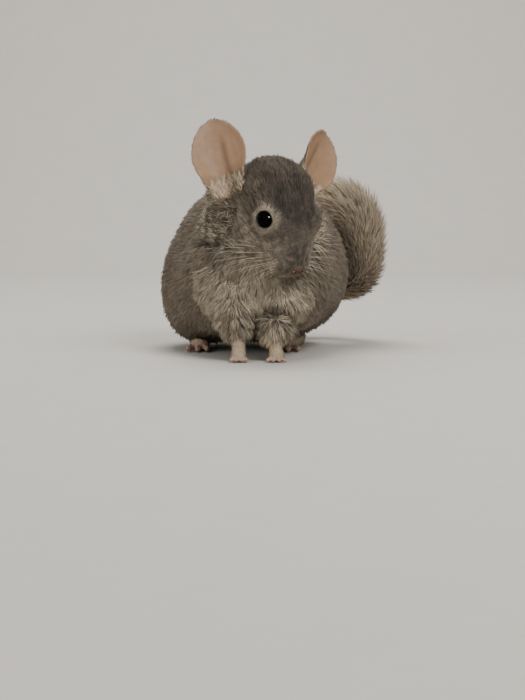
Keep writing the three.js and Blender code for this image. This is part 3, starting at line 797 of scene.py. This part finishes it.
def zones_of(points, flesh, route, tail_radii):
    """Which part of the coat each point of the skin carries, by the nearest corner of the solids."""
    labelled = [(node, solid_points(node)) for node in flesh]
    tree = KDTree(sum(len(p) for _, p in labelled))
    owner = []
    for node, where in labelled:
        for p in where:
            tree.insert(p, len(owner))
            owner.append(ZONES.index(kind_of(node)))
    tree.balance()
    zone = np.array([owner[tree.find(p)[1]] for p in points])
    beyond = np.full(len(points), 1e9)
    spots = unplaced(points)
    for centre, radius in zip(route, tail_radii):
        beyond = np.minimum(beyond, np.linalg.norm(spots - centre, axis=1) - radius)
    zone[beyond < 0.9] = ZONES.index("tail")
    return zone


def solid_points(node):
    """The corners and the middles of a solid's triangles."""
    points, corners = read_mesh(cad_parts[node].data)
    return np.concatenate([points, points[corners].mean(axis=1)])


def unwrap(piece):
    piece.data.uv_layers.new(name="OFBake")
    bpy.ops.object.select_all(action="DESELECT")
    piece.select_set(True)
    bpy.context.view_layer.objects.active = piece
    bpy.ops.object.mode_set(mode="EDIT")
    bpy.ops.mesh.select_all(action="SELECT")
    bpy.ops.uv.smart_project(angle_limit=math.radians(66), island_margin=0.001)
    bpy.ops.object.mode_set(mode="OBJECT")


# Coat

TUFT_SIDES = 3
PATCH = 0.003  # a tuft's length on the bake map


def tuft_faces(rings):
    """Corners of one tuft's triangles: its sides, its point and its root's end."""
    faces = []
    for row in range(rings - 1):
        for j in range(TUFT_SIDES):
            a = row * TUFT_SIDES + j
            b = row * TUFT_SIDES + (j + 1) % TUFT_SIDES
            faces += [(a, b, b + TUFT_SIDES), (a, b + TUFT_SIDES, a + TUFT_SIDES)]
    last = (rings - 1) * TUFT_SIDES
    tip = rings * TUFT_SIDES
    for j in range(TUFT_SIDES):
        faces.append((last + j, last + (j + 1) % TUFT_SIDES, tip))
    faces.append((2, 1, 0))
    return np.array(faces)


def tuft_mesh(name, roots, normals, lies, length, width, lift, grow, wave, rng):
    """Closed bent tufts, each from its root along its lie, with points of one ring after another."""
    count = len(roots)
    tangent = unit(lies - normals * (lies * normals).sum(1, keepdims=True))
    turn = rng.normal(0, math.radians(grow["stray"]), count)[:, None]
    tangent = unit(tangent + np.cross(normals, tangent) * turn)
    side = unit(np.cross(tangent, normals))
    centre = roots - normals * ROOT_DEPTH * MM
    rings = grow["rings"]
    verts = []
    reach = []
    shape = np.interp(np.linspace(0, 1, rings + 1), [0, 0.45, 1], [0.75, 1.0, 0.0])
    for k in range(rings + 1):
        t = k / rings
        angle = lift * (1.15 - 0.95 * t)
        along = tangent * np.cos(angle)[:, None] + normals * np.sin(angle)[:, None]
        if k < rings:
            up = np.cross(along, side)
            for j in range(TUFT_SIDES):
                theta = 2 * math.pi * j / TUFT_SIDES - math.pi / 2
                half = (width * shape[k] / 2)[:, None]
                verts.append(centre + half * (math.cos(theta) * side + 0.5 * math.sin(theta) * up))
                reach.append(t)
        else:
            verts.append(centre)
            reach.append(1.0)
        sway = np.cross(along, normals) * (wave * math.sin(2.6 * t + 0.6))[:, None]
        centre = centre + (along + sway) * (length / rings)[:, None]
    verts = np.stack(verts, 1)
    size = verts.shape[1]
    verts[:, :, 2] = np.maximum(verts[:, :, 2], (FLOOR_GAP + 0.03 * np.arange(size)) * MM)
    faces = tuft_faces(rings)[None] + (np.arange(count) * size)[:, None, None]
    mesh = mesh_from(name, verts.reshape(-1, 3), faces.reshape(-1, 3))
    return mesh, np.tile(np.array(reach), count), size


def finish_tufts(mesh, size, reach, roots, uvs, chance, shared):
    """Gives every corner of a tuft its root's marks and a small patch of the bake map."""
    def repeat(values):
        return np.repeat(values, size, axis=0)

    put_attribute(mesh, "reach", "FLOAT", reach)
    put_attribute(mesh, "chance", "FLOAT", repeat(chance))
    put_attribute(mesh, "root_at", "FLOAT_VECTOR", repeat(roots))
    for name, values in shared.items():
        put_attribute(mesh, name, "FLOAT", repeat(values))
    across = np.tile(np.arange(size) % TUFT_SIDES - 1, len(roots)) * PATCH * 0.35
    place_on = repeat(uvs) + np.stack([across, (reach - 0.5) * PATCH], 1)
    corners = np.empty(len(mesh.loops), np.int32)
    mesh.loops.foreach_get("vertex_index", corners)
    layer = mesh.uv_layers.new(name="OFBake")
    layer.uv.foreach_set("vector", place_on[corners].astype(np.float32).ravel())


def clumped(lies, roots, share, size, rng):
    """Turns each tuft's lie towards the tip of the lock that it belongs to."""
    if share <= 0:
        return lies, np.zeros(len(roots)), np.zeros(len(roots))
    count = max(int(len(roots) / size), 8)
    chosen = rng.choice(len(roots), count, replace=False)
    tree = KDTree(count)
    for i, p in enumerate(roots[chosen]):
        tree.insert(p, i)
    tree.balance()
    nearest = np.array([tree.find(p)[1] for p in roots])
    goal = roots[chosen][nearest] + unit(lies[chosen])[nearest] * 5 * MM
    pull = unit(goal - roots)
    swing = rng.uniform(-1, 1, count)[nearest]
    tint = rng.uniform(0, 1, count)[nearest]
    return unit(unit(lies) * (1 - share) + pull * share), swing, tint


MARKS = ("pale", "dark", "cream", "bare", "fleck")


def surface_of(piece):
    """What tufts need to know of the mesh that they grow on."""
    mesh = piece.data
    points, corners = read_mesh(mesh)
    uv = np.empty(len(mesh.loops) * 2, np.float32)
    mesh.uv_layers["OFBake"].uv.foreach_get("vector", uv)
    loops = np.empty(len(mesh.loop_triangles) * 3, np.int32)
    mesh.loop_triangles.foreach_get("loops", loops)
    return {
        "points": points, "corners": corners, "normals": vertex_normals(points, corners),
        "lie": get_attribute(mesh, "lie", 3), "uv": uv.reshape(-1, 2)[loops.reshape(-1, 3)],
        "marks": {name: get_attribute(mesh, name) for name in MARKS}, "cover": np.ones(len(points)),
    }


def clear_of_eyes(roots):
    """False in front of an eye's opening."""
    clear = np.ones(len(roots), bool)
    for side, centre in EYES:
        away = unplaced(roots) - centre
        gap = np.linalg.norm(away, axis=1)
        facing = (away @ eye_axis(side)) / np.maximum(gap, 1e-6)
        clear &= (gap > 10) | (facing < math.cos(math.radians(52)))
    return clear


def grow_tufts(part, surface, chosen, grow, shape, fullness, rng):
    """Tufts over some of a surface's triangles; `shape` gives their length, lift and width."""
    points, corners = surface["points"], surface["corners"]
    a, b, c = (points[corners[chosen, i]] for i in range(3))
    area = np.linalg.norm(np.cross(b - a, c - a), axis=1) / 2 / MM ** 2
    order = np.cumsum(area * surface["cover"][corners[chosen, 0]])
    count = int(order[-1] * grow["density"] * fullness)
    picks = chosen[np.searchsorted(order, rng.uniform(0, order[-1], count)).clip(0, len(chosen) - 1)]
    u = np.sqrt(rng.uniform(0, 1, count))
    v = rng.uniform(0, 1, count)
    mix = np.stack([1 - u, u * (1 - v), u * v], 1)

    def at_roots(values):
        share = mix if values.ndim == 1 else mix[:, :, None]
        return (values[corners[picks]] * share).sum(1)

    keep = clear_of_eyes(at_roots(points))
    keep &= ~((at_roots(points)[:, 2] < 0.8 * MM) & (unit(at_roots(surface["normals"]))[:, 2] < -0.5))
    picks, mix = picks[keep], mix[keep]
    count = len(picks)
    roots = at_roots(points)
    up = unit(at_roots(surface["normals"]))
    lies, swing, tint = clumped(at_roots(surface["lie"]), roots, grow["clump"], LOCK_SIZE, rng)
    long, lift, wide = shape(unplaced(roots), count, rng)
    lift = lift + 9 * grow["clump"] * swing
    tufts, reach, size = tuft_mesh(
        f"coat_{part}", roots, up, lies, long * MM, wide * MM, np.radians(lift), grow,
        grow["wave"] * swing, rng,
    )
    chance = rng.uniform(0, 1, count)
    if grow["clump"] > 0:
        chance = 0.5 * chance + 0.5 * tint
    chance = np.clip(0.5 + (chance - 0.5) * grow["contrast"], 0, 1.2)
    uvs = (surface["uv"][picks] * mix[:, :, None]).sum(1)
    carried = {name: at_roots(values) for name, values in surface["marks"].items()}
    finish_tufts(tufts, size, reach, roots, uvs, chance, carried)
    own, faces = read_mesh(tufts)
    soft = unit(0.72 * np.repeat(up, size, axis=0) + 0.4 * vertex_normals(own, faces))
    tufts.polygons.foreach_set("use_smooth", np.ones(len(tufts.polygons), bool))
    tufts.normals_split_custom_set_from_vertices(soft)
    piece = add_piece(f"coat_{part}", tufts, MATERIALS["coat"])
    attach(piece, "root")
    return piece


def make_coat(skin, settings):
    """Grows each zone's coat in pieces of moderate size."""
    rng = np.random.default_rng(settings.seed)
    surface = surface_of(skin)
    points, corners = surface["points"], surface["corners"]
    surface["cover"] = 1 - np.clip(surface["marks"]["bare"] * 1.5, 0, 1)
    zone = get_attribute(skin.data, "zone")
    forward = head_frame(unplaced(points))[:, 0]
    surface["cover"] *= np.where(in_zone(zone, "head"), 0.75 + 0.75 * ease(forward, 12, 40), 1)
    face_zone = zone[corners[:, 0]]
    spots = unplaced(points[corners].mean(1))
    for name, grow in COATS.items():
        here = in_zone(face_zone, name)
        for part, mask in parts_of(name, spots, here):
            chosen = np.flatnonzero(mask)
            if len(chosen) == 0:
                continue
            share = 0.8 if part.startswith("rump") else 1.0
            piece = grow_tufts(
                part, surface, chosen, grow,
                lambda where, count, draw: growth(name, grow, where, count, draw),
                settings.fullness * share, rng,
            )


def parts_of(name, spots, here):
    """Divides a large stretch of coat so that each piece stays a moderate size."""
    left = spots[:, 0] > 0
    if name == "torso":
        for label, side in (("left", left), ("right", ~left)):
            yield f"fore_{label}", here & side & (spots[:, 1] < 62)
            yield f"middle_{label}", here & side & (spots[:, 1] >= 62) & (spots[:, 1] < 104)
            yield f"rump_{label}", here & side & (spots[:, 1] >= 104)
    elif name in ("head", "neck"):
        leftward = head_frame(spots)[:, 1] > 0
        yield f"{name}_left", here & leftward
        yield f"{name}_right", here & ~leftward
    elif name == "tail":
        yield "tail_low", here & (spots[:, 2] < 66)
        yield "tail_high", here & (spots[:, 2] >= 66)
    elif name in ("hindleg", "foreleg"):
        yield f"{name}_left", here & left
        yield f"{name}_right", here & ~left
    else:
        yield name, here


def growth(name, grow, spots, count, rng):
    """Length, lift in degrees and width of each tuft, varied as hair is."""
    long = grow["length"] * rng.uniform(0.75, 1.2, count)
    lift = grow["lift"] + rng.normal(0, 6, count)
    wide = grow["width"] * rng.uniform(0.75, 1.2, count)
    if name == "head":
        front = ease(head_frame(spots)[:, 0], 8, 42)
        long *= 1 - 0.68 * front
        wide *= 1 - 0.5 * front
        lift -= 7 * front
        close = 1 - ease(eye_gaps(spots), 8, 13)
        long *= 1 - 0.5 * close
        lift -= 8 * close
        for ear in EARS.values():
            at_ear = near(spots, from_head(*ear["root"]), 9, 17)
            long *= 1 + 0.6 * at_ear
            lift += 20 * at_ear
    if name == "foreleg":
        long *= 1 - 0.3 * crease_of(spots)
        lift -= 8 * ease(-spots[:, 2], -21, -15) + 10 * ease(spots[:, 2], 38, 48)
    if name == "torso":
        fluff = fluff_of(spots)
        long *= 1 + 0.5 * fluff
        lift += 6 * fluff
    if name == "neck":
        at_ear = near(spots, from_head(*EARS["right"]["root"]), 10, 19)
        long *= 1 + 0.3 * at_ear
        lift += 16 * at_ear
        left = ease(head_frame(spots)[:, 1], 2, 16)
        long *= 1 + 0.8 * left
        lift += 6 * left
    if name == "tail":
        route, _ = tail_line(TAIL_STEPS)
        gaps = np.linalg.norm(spots[:, None] - route[None], axis=2)
        t = np.argmin(gaps, axis=1) / (len(route) - 1)
        long *= np.interp(t, [0, 0.3, 0.6, 0.85, 1], [0.55, 0.68, 0.95, 1.1, 1.2])
        lift += np.interp(t, [0, 0.3, 0.5, 0.9, 1], [-20, -20, -6, 2, -8])
    return long, np.maximum(lift, 7), wide


# Ears, eyes, lids and nose

def make_ear(side, settings):
    """An ear's naked skin with its fold and dark edge, painted shade along the fold and low in its cup,
    furred behind and at its base.
    """
    node = f"ear_{side}"
    shape = EARS[side]
    axis = unit(np.array(shape["tilt"]))
    towards = np.array(shape["facing"])
    towards = unit(towards - (towards @ axis) * axis)
    across = np.cross(axis, towards)
    mesh = cad_copy(node, [node], STEPS["ear"] * MM)
    points, corners = read_mesh(mesh)
    bpy.data.meshes.remove(mesh)
    edges = edges_of(corners)
    points = smoothed(points, edges, 8)
    broad = smoothed(points, edges, 30)
    normals = vertex_normals(points, corners)
    drawn = np.linalg.norm(broad - points, axis=1) / MM
    rim = ease(drawn, 0.35, 0.9)
    back = ease(-(normals @ towards), -0.1, 0.3)
    offset = unplaced(points) - from_head(*shape["root"])
    up = offset @ axis / EAR_LENGTH
    sideways = offset @ across
    inside = 1 - back
    # painted shade: a dark streak along the fold inside the ear
    fold = np.exp(-(((sideways - shape["crease"] * (0.7 + 0.5 * up)) / 1.7) ** 2))
    fold *= ease(up, 0.06, 0.2) * (1 - ease(up, 0.55, 0.85)) * inside
    # painted shade: darker low in the ear's cup
    deep = 0.3 * (1 - ease(up, 0.0, 0.35)) * inside
    mesh = mesh_from(node + "_skin", points, corners)
    # the edge and the back are the ear's own darker skin; the fold and the low cup are painted shade
    dark_skin_and_shade = np.max([0.85 * rim, 0.75 * back, deep + 0.5 * fold], axis=0)
    put_attribute(mesh, "dark_skin_and_shade", "FLOAT", smoothed(dark_skin_and_shade, edges, 3))
    outward = across * np.sign(sideways)[:, None]
    put_attribute(mesh, "lie", "FLOAT_VECTOR", unit(axis + 0.3 * outward))
    uneven = 0.05 * np.sin(1.7 * sideways) + 0.03 * np.sin(4.1 * sideways + 1)
    base = inside * (1 - ease(up + uneven, 0.03, 0.17))
    values = {
        "pale": 0.12 + 0.5 * base + 0.2 * rim, "dark": 0.25 * back * (1 - base), "cream": 0.75 * base,
    }
    for name in MARKS:
        put_attribute(mesh, name, "FLOAT", values.get(name, 0 * rim))
    piece = add_piece(node + "_skin", mesh, MATERIALS["ear"])
    unwrap(piece)
    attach(piece, "root")
    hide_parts(node)

    surface = surface_of(piece)
    surface["cover"] = np.clip(np.max([back, 0.4 * rim, 0.8 * base], axis=0) - 0.04, 0, 1)

    def lengths(spots, count, rng):
        height = (spots - from_head(*shape["root"])) @ axis / EAR_LENGTH
        low = 1 - ease(height, 0.1, 0.24)
        long = EAR_COAT["length"] * rng.uniform(0.7, 1.2, count) * (1 + 1.5 * low)
        lift = EAR_COAT["lift"] + 10 * low + rng.normal(0, 6, count)
        return long, lift, EAR_COAT["width"] * (1 + 0.6 * low)

    rng = np.random.default_rng(settings.seed + len(side))
    hairs = grow_tufts(node, surface, np.arange(len(corners)), EAR_COAT, lengths, settings.fullness, rng)


def cut_from_head(name, centre, radius, voxel, material, dark_skin_and_shade):
    """The solid head's own surface near one place, redrawn finely."""
    ball = bmesh.new()
    bmesh.ops.create_icosphere(ball, subdivisions=4, radius=radius)
    bmesh.ops.translate(ball, verts=ball.verts, vec=Vector(centre))
    ball_mesh = bpy.data.meshes.new("ball")
    ball.to_mesh(ball_mesh)
    ball.free()
    cutter = bpy.data.objects.new("cutter", ball_mesh)
    bpy.context.scene.collection.objects.link(cutter)
    source = bmesh.new()
    source.from_mesh(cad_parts["head"].data)
    bmesh.ops.remove_doubles(source, verts=source.verts, dist=1e-7)
    mesh = bpy.data.meshes.new(name)
    source.to_mesh(mesh)
    source.free()
    holder = bpy.data.objects.new("holder", mesh)
    bpy.context.scene.collection.objects.link(holder)
    step = holder.modifiers.new("near", "BOOLEAN")
    step.operation = "INTERSECT"
    step.solver = "EXACT"
    step.object = cutter
    evaluated = holder.evaluated_get(bpy.context.evaluated_depsgraph_get())
    part = bpy.data.meshes.new_from_object(evaluated)
    bpy.data.objects.remove(holder)
    bpy.data.objects.remove(cutter)
    bpy.data.meshes.remove(ball_mesh)
    bpy.data.meshes.remove(mesh)
    fine = remeshed(part, voxel)
    points, corners = read_mesh(fine)
    bpy.data.meshes.remove(fine)
    edges = edges_of(corners)
    points = smoothed(points, edges, 3)
    mesh = mesh_from(name, points, corners)
    put_attribute(mesh, "dark_skin_and_shade", "FLOAT", dark_skin_and_shade(points))
    piece = add_piece(name, mesh, material)
    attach(piece, "root")


def make_lid(side):
    """The rim of naked skin round an eye, dark at its edge."""
    sign = 1 if side == "left" else -1
    centre = box_middle(f"eye_{side}")

    def edge(points):
        away = points - centre
        gap = np.maximum(np.linalg.norm(away, axis=1), 1e-6)
        angle = np.degrees(np.arccos(np.clip((away @ eye_axis(sign)) / gap, -1, 1)))
        return 1 - ease(angle, 47, 53)

    cut_from_head(f"lids_{side}", centre, LID_RADIUS * MM, STEPS["lid"] * MM, MATERIALS["lid"], edge)


def make_nose():
    """The nose's bare skin, with painted shade in its nostrils."""
    at = placed(from_head(*NOSE_LOCAL))
    nostrils = [placed(from_head(51.2, y, -19.5)) for y in (-2.7, 2.7)]

    # painted shade: the skin darkened in and round each nostril
    def painted_nostril_shade(points):
        gap = np.min([np.linalg.norm(points - n, axis=1) for n in nostrils], axis=0) / MM
        return 1 - ease(gap, 1.0, 2.2)

    cut_from_head("nose", at, NOSE_RADIUS * MM, STEPS["nose"] * MM, MATERIALS["nose"], painted_nostril_shade)


def make_eye(side):
    node = f"eye_{side}"
    centre = box_middle(node)
    low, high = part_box(node)
    radius = (high[0] - low[0]) / 2
    form = bmesh.new()
    bmesh.ops.create_uvsphere(form, u_segments=48, v_segments=32, radius=radius)
    bmesh.ops.translate(form, verts=form.verts, vec=Vector(centre))
    mesh = bpy.data.meshes.new(node + "_ball")
    form.to_mesh(mesh)
    form.free()
    piece = add_piece(node + "_ball", mesh, MATERIALS["eye"])
    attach(piece, "root")
    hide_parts(node)


# Whiskers and claws, swept along paths by Geometry Nodes

def tapered_tree():
    """Turns each path into a thin tapered rod."""
    tree = bpy.data.node_groups.new("Tapered hairs", "GeometryNodeTree")
    inputs = {"Geometry": "Geometry", "Root radius": "Float", "Sides": "Int", "Finish": "Material"}
    for label, kind in inputs.items():
        tree.interface.new_socket(label, in_out="INPUT", socket_type=f"NodeSocket{kind}")
    tree.interface.new_socket("Geometry", in_out="OUTPUT", socket_type="NodeSocketGeometry")
    nodes, links = tree.nodes, tree.links
    inside = nodes.new("NodeGroupInput")
    outside = nodes.new("NodeGroupOutput")
    paths = nodes.new("GeometryNodeMeshToCurve")
    place_on = nodes.new("GeometryNodeSplineParameter")
    taper = nodes.new("ShaderNodeMapRange")
    taper.inputs["To Min"].default_value = 1.0
    taper.inputs["To Max"].default_value = 0.12
    sized = nodes.new("ShaderNodeMath")
    sized.operation = "MULTIPLY"
    profile = nodes.new("GeometryNodeCurvePrimitiveCircle")
    profile.inputs["Radius"].default_value = 1.0
    swept = nodes.new("GeometryNodeCurveToMesh")
    swept.inputs["Fill Caps"].default_value = True
    coated = nodes.new("GeometryNodeSetMaterial")
    links.new(inside.outputs["Geometry"], paths.inputs["Mesh"])
    links.new(place_on.outputs["Factor"], taper.inputs["Value"])
    links.new(taper.outputs["Result"], sized.inputs[0])
    links.new(inside.outputs["Root radius"], sized.inputs[1])
    links.new(inside.outputs["Sides"], profile.inputs["Resolution"])
    links.new(paths.outputs["Curve"], swept.inputs["Curve"])
    links.new(sized.outputs[0], swept.inputs["Scale"])
    links.new(profile.outputs["Curve"], swept.inputs["Profile Curve"])
    links.new(swept.outputs["Mesh"], coated.inputs["Geometry"])
    links.new(inside.outputs["Finish"], coated.inputs["Material"])
    links.new(coated.outputs["Geometry"], outside.inputs["Geometry"])
    return tree


def rods(name, paths, radius, sides, material):
    """Tapered rods along paths of equal numbers of points, as one plain mesh."""
    tree = bpy.data.node_groups.get("Tapered hairs") or tapered_tree()
    count, length = paths.shape[:2]
    lines = bpy.data.meshes.new(name + " paths")
    lines.vertices.add(count * length)
    lines.vertices.foreach_set("co", paths.astype(np.float32).ravel())
    start = (np.arange(count) * length)[:, None] + np.arange(length - 1)[None]
    pairs = np.stack([start, start + 1], 2).reshape(-1, 2)
    lines.edges.add(len(pairs))
    lines.edges.foreach_set("vertices", pairs.astype(np.int32).ravel())
    lines.update()
    holder = bpy.data.objects.new(name + " paths", lines)
    bpy.context.scene.collection.objects.link(holder)
    step = holder.modifiers.new("hairs", "NODES")
    step.node_group = tree
    for item in tree.interface.items_tree:
        if item.item_type == "SOCKET" and item.in_out == "INPUT":
            value = {"Root radius": radius, "Sides": sides, "Finish": material}.get(item.name)
            if value is not None:
                step[item.identifier] = value
    evaluated = holder.evaluated_get(bpy.context.evaluated_depsgraph_get())
    mesh = bpy.data.meshes.new_from_object(evaluated)
    mesh.name = name
    bpy.data.objects.remove(holder)
    bpy.data.meshes.remove(lines)
    piece = add_piece(name, mesh, material)
    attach(piece, "root")


def make_whiskers():
    rng = np.random.default_rng(7)
    paths = []
    for side in (1, -1):
        for row in range(WHISKER_ROWS):
            for column in range(WHISKER_COLUMNS):
                root = from_head(43 - 3.2 * column, side * (6.5 + 0.7 * column), -17.5 - 2.0 * row)
                out = side * LEFTWARD + FORWARD * (0.18 - 0.12 * column) + UPWARD * (0.12 - 0.1 * row)
                out = unit(out + rng.normal(0, 0.05, 3))
                long = (24 + 4.5 * column) * rng.uniform(0.85, 1.1)
                t = np.linspace(0, 1, 9)[:, None]
                droop = np.array([0.0, 0.25, -0.35]) * (t ** 2) * long * 0.35
                paths.append(placed(root + out * long * t + droop))
    rods("whiskers", np.array(paths), WHISKER_RADIUS * MM, 5, MATERIALS["whisker"])


def claw_path(tip, away, long, droop):
    """A hooked line from inside a toe's end, kept clear of the floor."""
    t = np.linspace(0, 1, 6)[:, None]
    line = tip - away * 0.9 + away * (long + 0.9) * t + np.array([0, 0, -droop]) * t ** 2
    line[:, 2] = np.maximum(line[:, 2], 0.62 - 0.3 * t[:, 0])
    return placed(line)


def make_claws():
    paths = []
    for leg in FORELEGS.values():
        for place_at in (-1.5, -0.5, 0.5, 1.5):
            angle = math.radians(place_at * leg["spread"])
            away = np.array([math.sin(angle), -math.cos(angle), 0])
            long = FORETOES["long"] * (1 - 0.08 * abs(place_at))
            knuckle = np.array(leg["paw"]) + (place_at * FORETOES["apart"], *FORETOES["ahead"])
            paths.append(claw_path(knuckle + away * long + (0, 0, -1.0), away, 1.3, 0.5))
    for side, foot in zip((1, -1), HINDFEET.values()):
        for place_at in (-1, 0, 1):
            knuckle = np.array(foot["ball"]) + (place_at * HINDTOES["apart"], *HINDTOES["ahead"])
            step = np.array([place_at * 2 + side, abs(place_at) * 2.2 - HINDTOES["long"], -0.6])
            away = unit(step * (1, 1, 0))
            paths.append(claw_path(knuckle + step, away, 1.8, 0.6))
    rods("claws", np.array(paths), CLAW_RADIUS * MM, 8, MATERIALS["claw"])


# Stage

# Each lamp's place, aim, power, width and tint
LAMPS = {
    "key": ((0.55, -0.75, 0.95), (0, 0, 0.06), 9.0, 0.5, (1.0, 0.965, 0.91)),
    "fill": ((-0.9, -0.55, 0.5), (0, 0, 0.06), 3.0, 0.8, (1.0, 0.985, 0.96)),
    "top": ((-0.1, 0.25, 1.2), (0, 0, 0.06), 7.0, 0.8, (1.0, 0.98, 0.95)),
    "wall": ((0, 0.7, 1.9), (0, 1.7, 0.4), 26.0, 1.2, (1.0, 0.98, 0.95)),
    "spark": ((0.33, -0.93, 0.5), (0, 0, 0.06), 8.0, 0.2, (1.0, 1.0, 1.0)),
}


def make_backdrop():
    """A plain sheet of paper that curves up behind the model."""
    wide, front, back, high, bend = 3.0, -2.6, 1.8, 2.4, 0.9
    profile = [(front, 0.0), (back - bend, 0.0)]
    steps = 12
    for i in range(1, steps + 1):
        angle = math.pi / 2 * i / steps
        profile.append((back - bend + bend * math.sin(angle), bend - bend * math.cos(angle)))
    profile.append((back, high))
    verts = [(x, y, z) for y, z in profile for x in (-wide, wide)]
    faces = [(2 * i, 2 * i + 1, 2 * i + 3, 2 * i + 2) for i in range(len(profile) - 1)]
    mesh = bpy.data.meshes.new("backdrop")
    mesh.from_pydata(verts, [], faces)
    material, tree, shader = principled("paper", 0.9)
    tint = noise(tree, own_place(tree), 40.0)
    colour = mix_colour(tree, tint, (0.56, 0.54, 0.5, 1), (0.6, 0.58, 0.545, 1))
    tree.links.new(colour, shader.inputs["Base Color"])
    backdrop = add_piece("backdrop", mesh, material)
    backdrop.visible_glossy = False


def make_camera(scene):
    """The photo's camera."""
    camera = bpy.data.objects.new("camera", bpy.data.cameras.new("camera"))
    scene.collection.objects.link(camera)
    scene.camera = camera
    camera.data.lens = SENSOR * CAMERA_PIXELS / PICTURE_TALL
    camera.data.sensor_width = SENSOR
    camera.data.clip_start = 0.02
    camera.location = placed(CAMERA_AT)
    camera.rotation_euler = (math.pi / 2 - CAMERA_PITCH, 0, 0)


def make_lights(scene):
    """Soft light all round, soft lamps, and a small one that only the eyes mirror."""
    world = bpy.data.worlds.new("studio")
    scene.world = world
    world.use_nodes = True
    world.cycles_visibility.glossy = False
    background = world.node_tree.nodes["Background"]
    background.inputs["Color"].default_value = (1.0, 0.98, 0.95, 1)
    background.inputs["Strength"].default_value = 0.45
    for name, (at, goal, power, size, tint) in LAMPS.items():
        lamp = bpy.data.lights.new(name, "AREA")
        lamp.energy = power
        lamp.size = size
        lamp.color = tint
        holder = bpy.data.objects.new(name, lamp)
        scene.collection.objects.link(holder)
        holder.visible_glossy = name == "spark"
        holder.visible_diffuse = name != "spark"
        holder.location = at
        aim = Vector(goal) - Vector(at)
        holder.rotation_euler = aim.to_track_quat("-Z", "Y").to_euler()


# Add-on

class CoatSettings(bpy.types.PropertyGroup):
    """How full the coat is."""

    fullness: bpy.props.FloatProperty(
        name="Fullness", description="Tufts grown for each one planned", default=1.0, min=0.05, max=1.2
    )
    seed: bpy.props.IntProperty(name="Seed", description="Start of the random draws", default=11, min=0)


class CHINCHILLA_OT_skin(bpy.types.Operator):
    """Builds the skin under the coat"""

    bl_idname = "chinchilla.skin"
    bl_label = "Skin"

    def execute(self, context):
        make_skin()
        return {"FINISHED"}


class CHINCHILLA_OT_coat(bpy.types.Operator):
    """Grows the coat over the skin"""

    bl_idname = "chinchilla.coat"
    bl_label = "Coat"

    def execute(self, context):
        make_coat(bpy.data.objects["skin"], context.scene.chinchilla_coat)
        return {"FINISHED"}


class CHINCHILLA_OT_ears(bpy.types.Operator):
    """Builds the two ears"""

    bl_idname = "chinchilla.ears"
    bl_label = "Ears"

    def execute(self, context):
        for side in SIDES:
            make_ear(side, context.scene.chinchilla_coat)
        return {"FINISHED"}


class CHINCHILLA_OT_face(bpy.types.Operator):
    """Builds the eyes, lids and nose"""

    bl_idname = "chinchilla.face"
    bl_label = "Eyes, lids and nose"

    def execute(self, context):
        for side in SIDES:
            make_eye(side)
            make_lid(side)
        make_nose()
        return {"FINISHED"}


class CHINCHILLA_OT_whiskers(bpy.types.Operator):
    """Sets the whiskers on the muzzle and the claws on the toes"""

    bl_idname = "chinchilla.whiskers"
    bl_label = "Whiskers and claws"

    def execute(self, context):
        make_whiskers()
        make_claws()
        return {"FINISHED"}


class CHINCHILLA_OT_stage(bpy.types.Operator):
    """Sets up the floor, lights and camera"""

    bl_idname = "chinchilla.stage"
    bl_label = "Stage"

    def execute(self, context):
        make_backdrop()
        make_camera(context.scene)
        make_lights(context.scene)
        return {"FINISHED"}


class CHINCHILLA_PT_panel(bpy.types.Panel):
    """Lists the steps that build the chinchilla"""

    bl_label = "Chinchilla"
    bl_idname = "CHINCHILLA_PT_panel"
    bl_space_type = "VIEW_3D"
    bl_region_type = "UI"
    bl_category = "Chinchilla"

    def draw(self, context):
        for operator in OPERATORS:
            self.layout.operator(operator.bl_idname)
        self.layout.prop(context.scene.chinchilla_coat, "fullness")
        self.layout.prop(context.scene.chinchilla_coat, "seed")


OPERATORS = (
    CHINCHILLA_OT_stage, CHINCHILLA_OT_skin, CHINCHILLA_OT_coat, CHINCHILLA_OT_ears,
    CHINCHILLA_OT_face, CHINCHILLA_OT_whiskers,
)
CLASSES = (CoatSettings, *OPERATORS, CHINCHILLA_PT_panel)


def register():
    for item in CLASSES:
        bpy.utils.register_class(item)
    bpy.types.Scene.chinchilla_coat = bpy.props.PointerProperty(type=CoatSettings)


def unregister():
    del bpy.types.Scene.chinchilla_coat
    for item in reversed(CLASSES):
        bpy.utils.unregister_class(item)


def main():
    register()
    make_materials()
    bpy.ops.chinchilla.stage()
    bpy.ops.chinchilla.skin()
    bpy.ops.chinchilla.coat()
    bpy.ops.chinchilla.ears()
    bpy.ops.chinchilla.face()
    bpy.ops.chinchilla.whiskers()


if __name__ == "__main__":
    main()
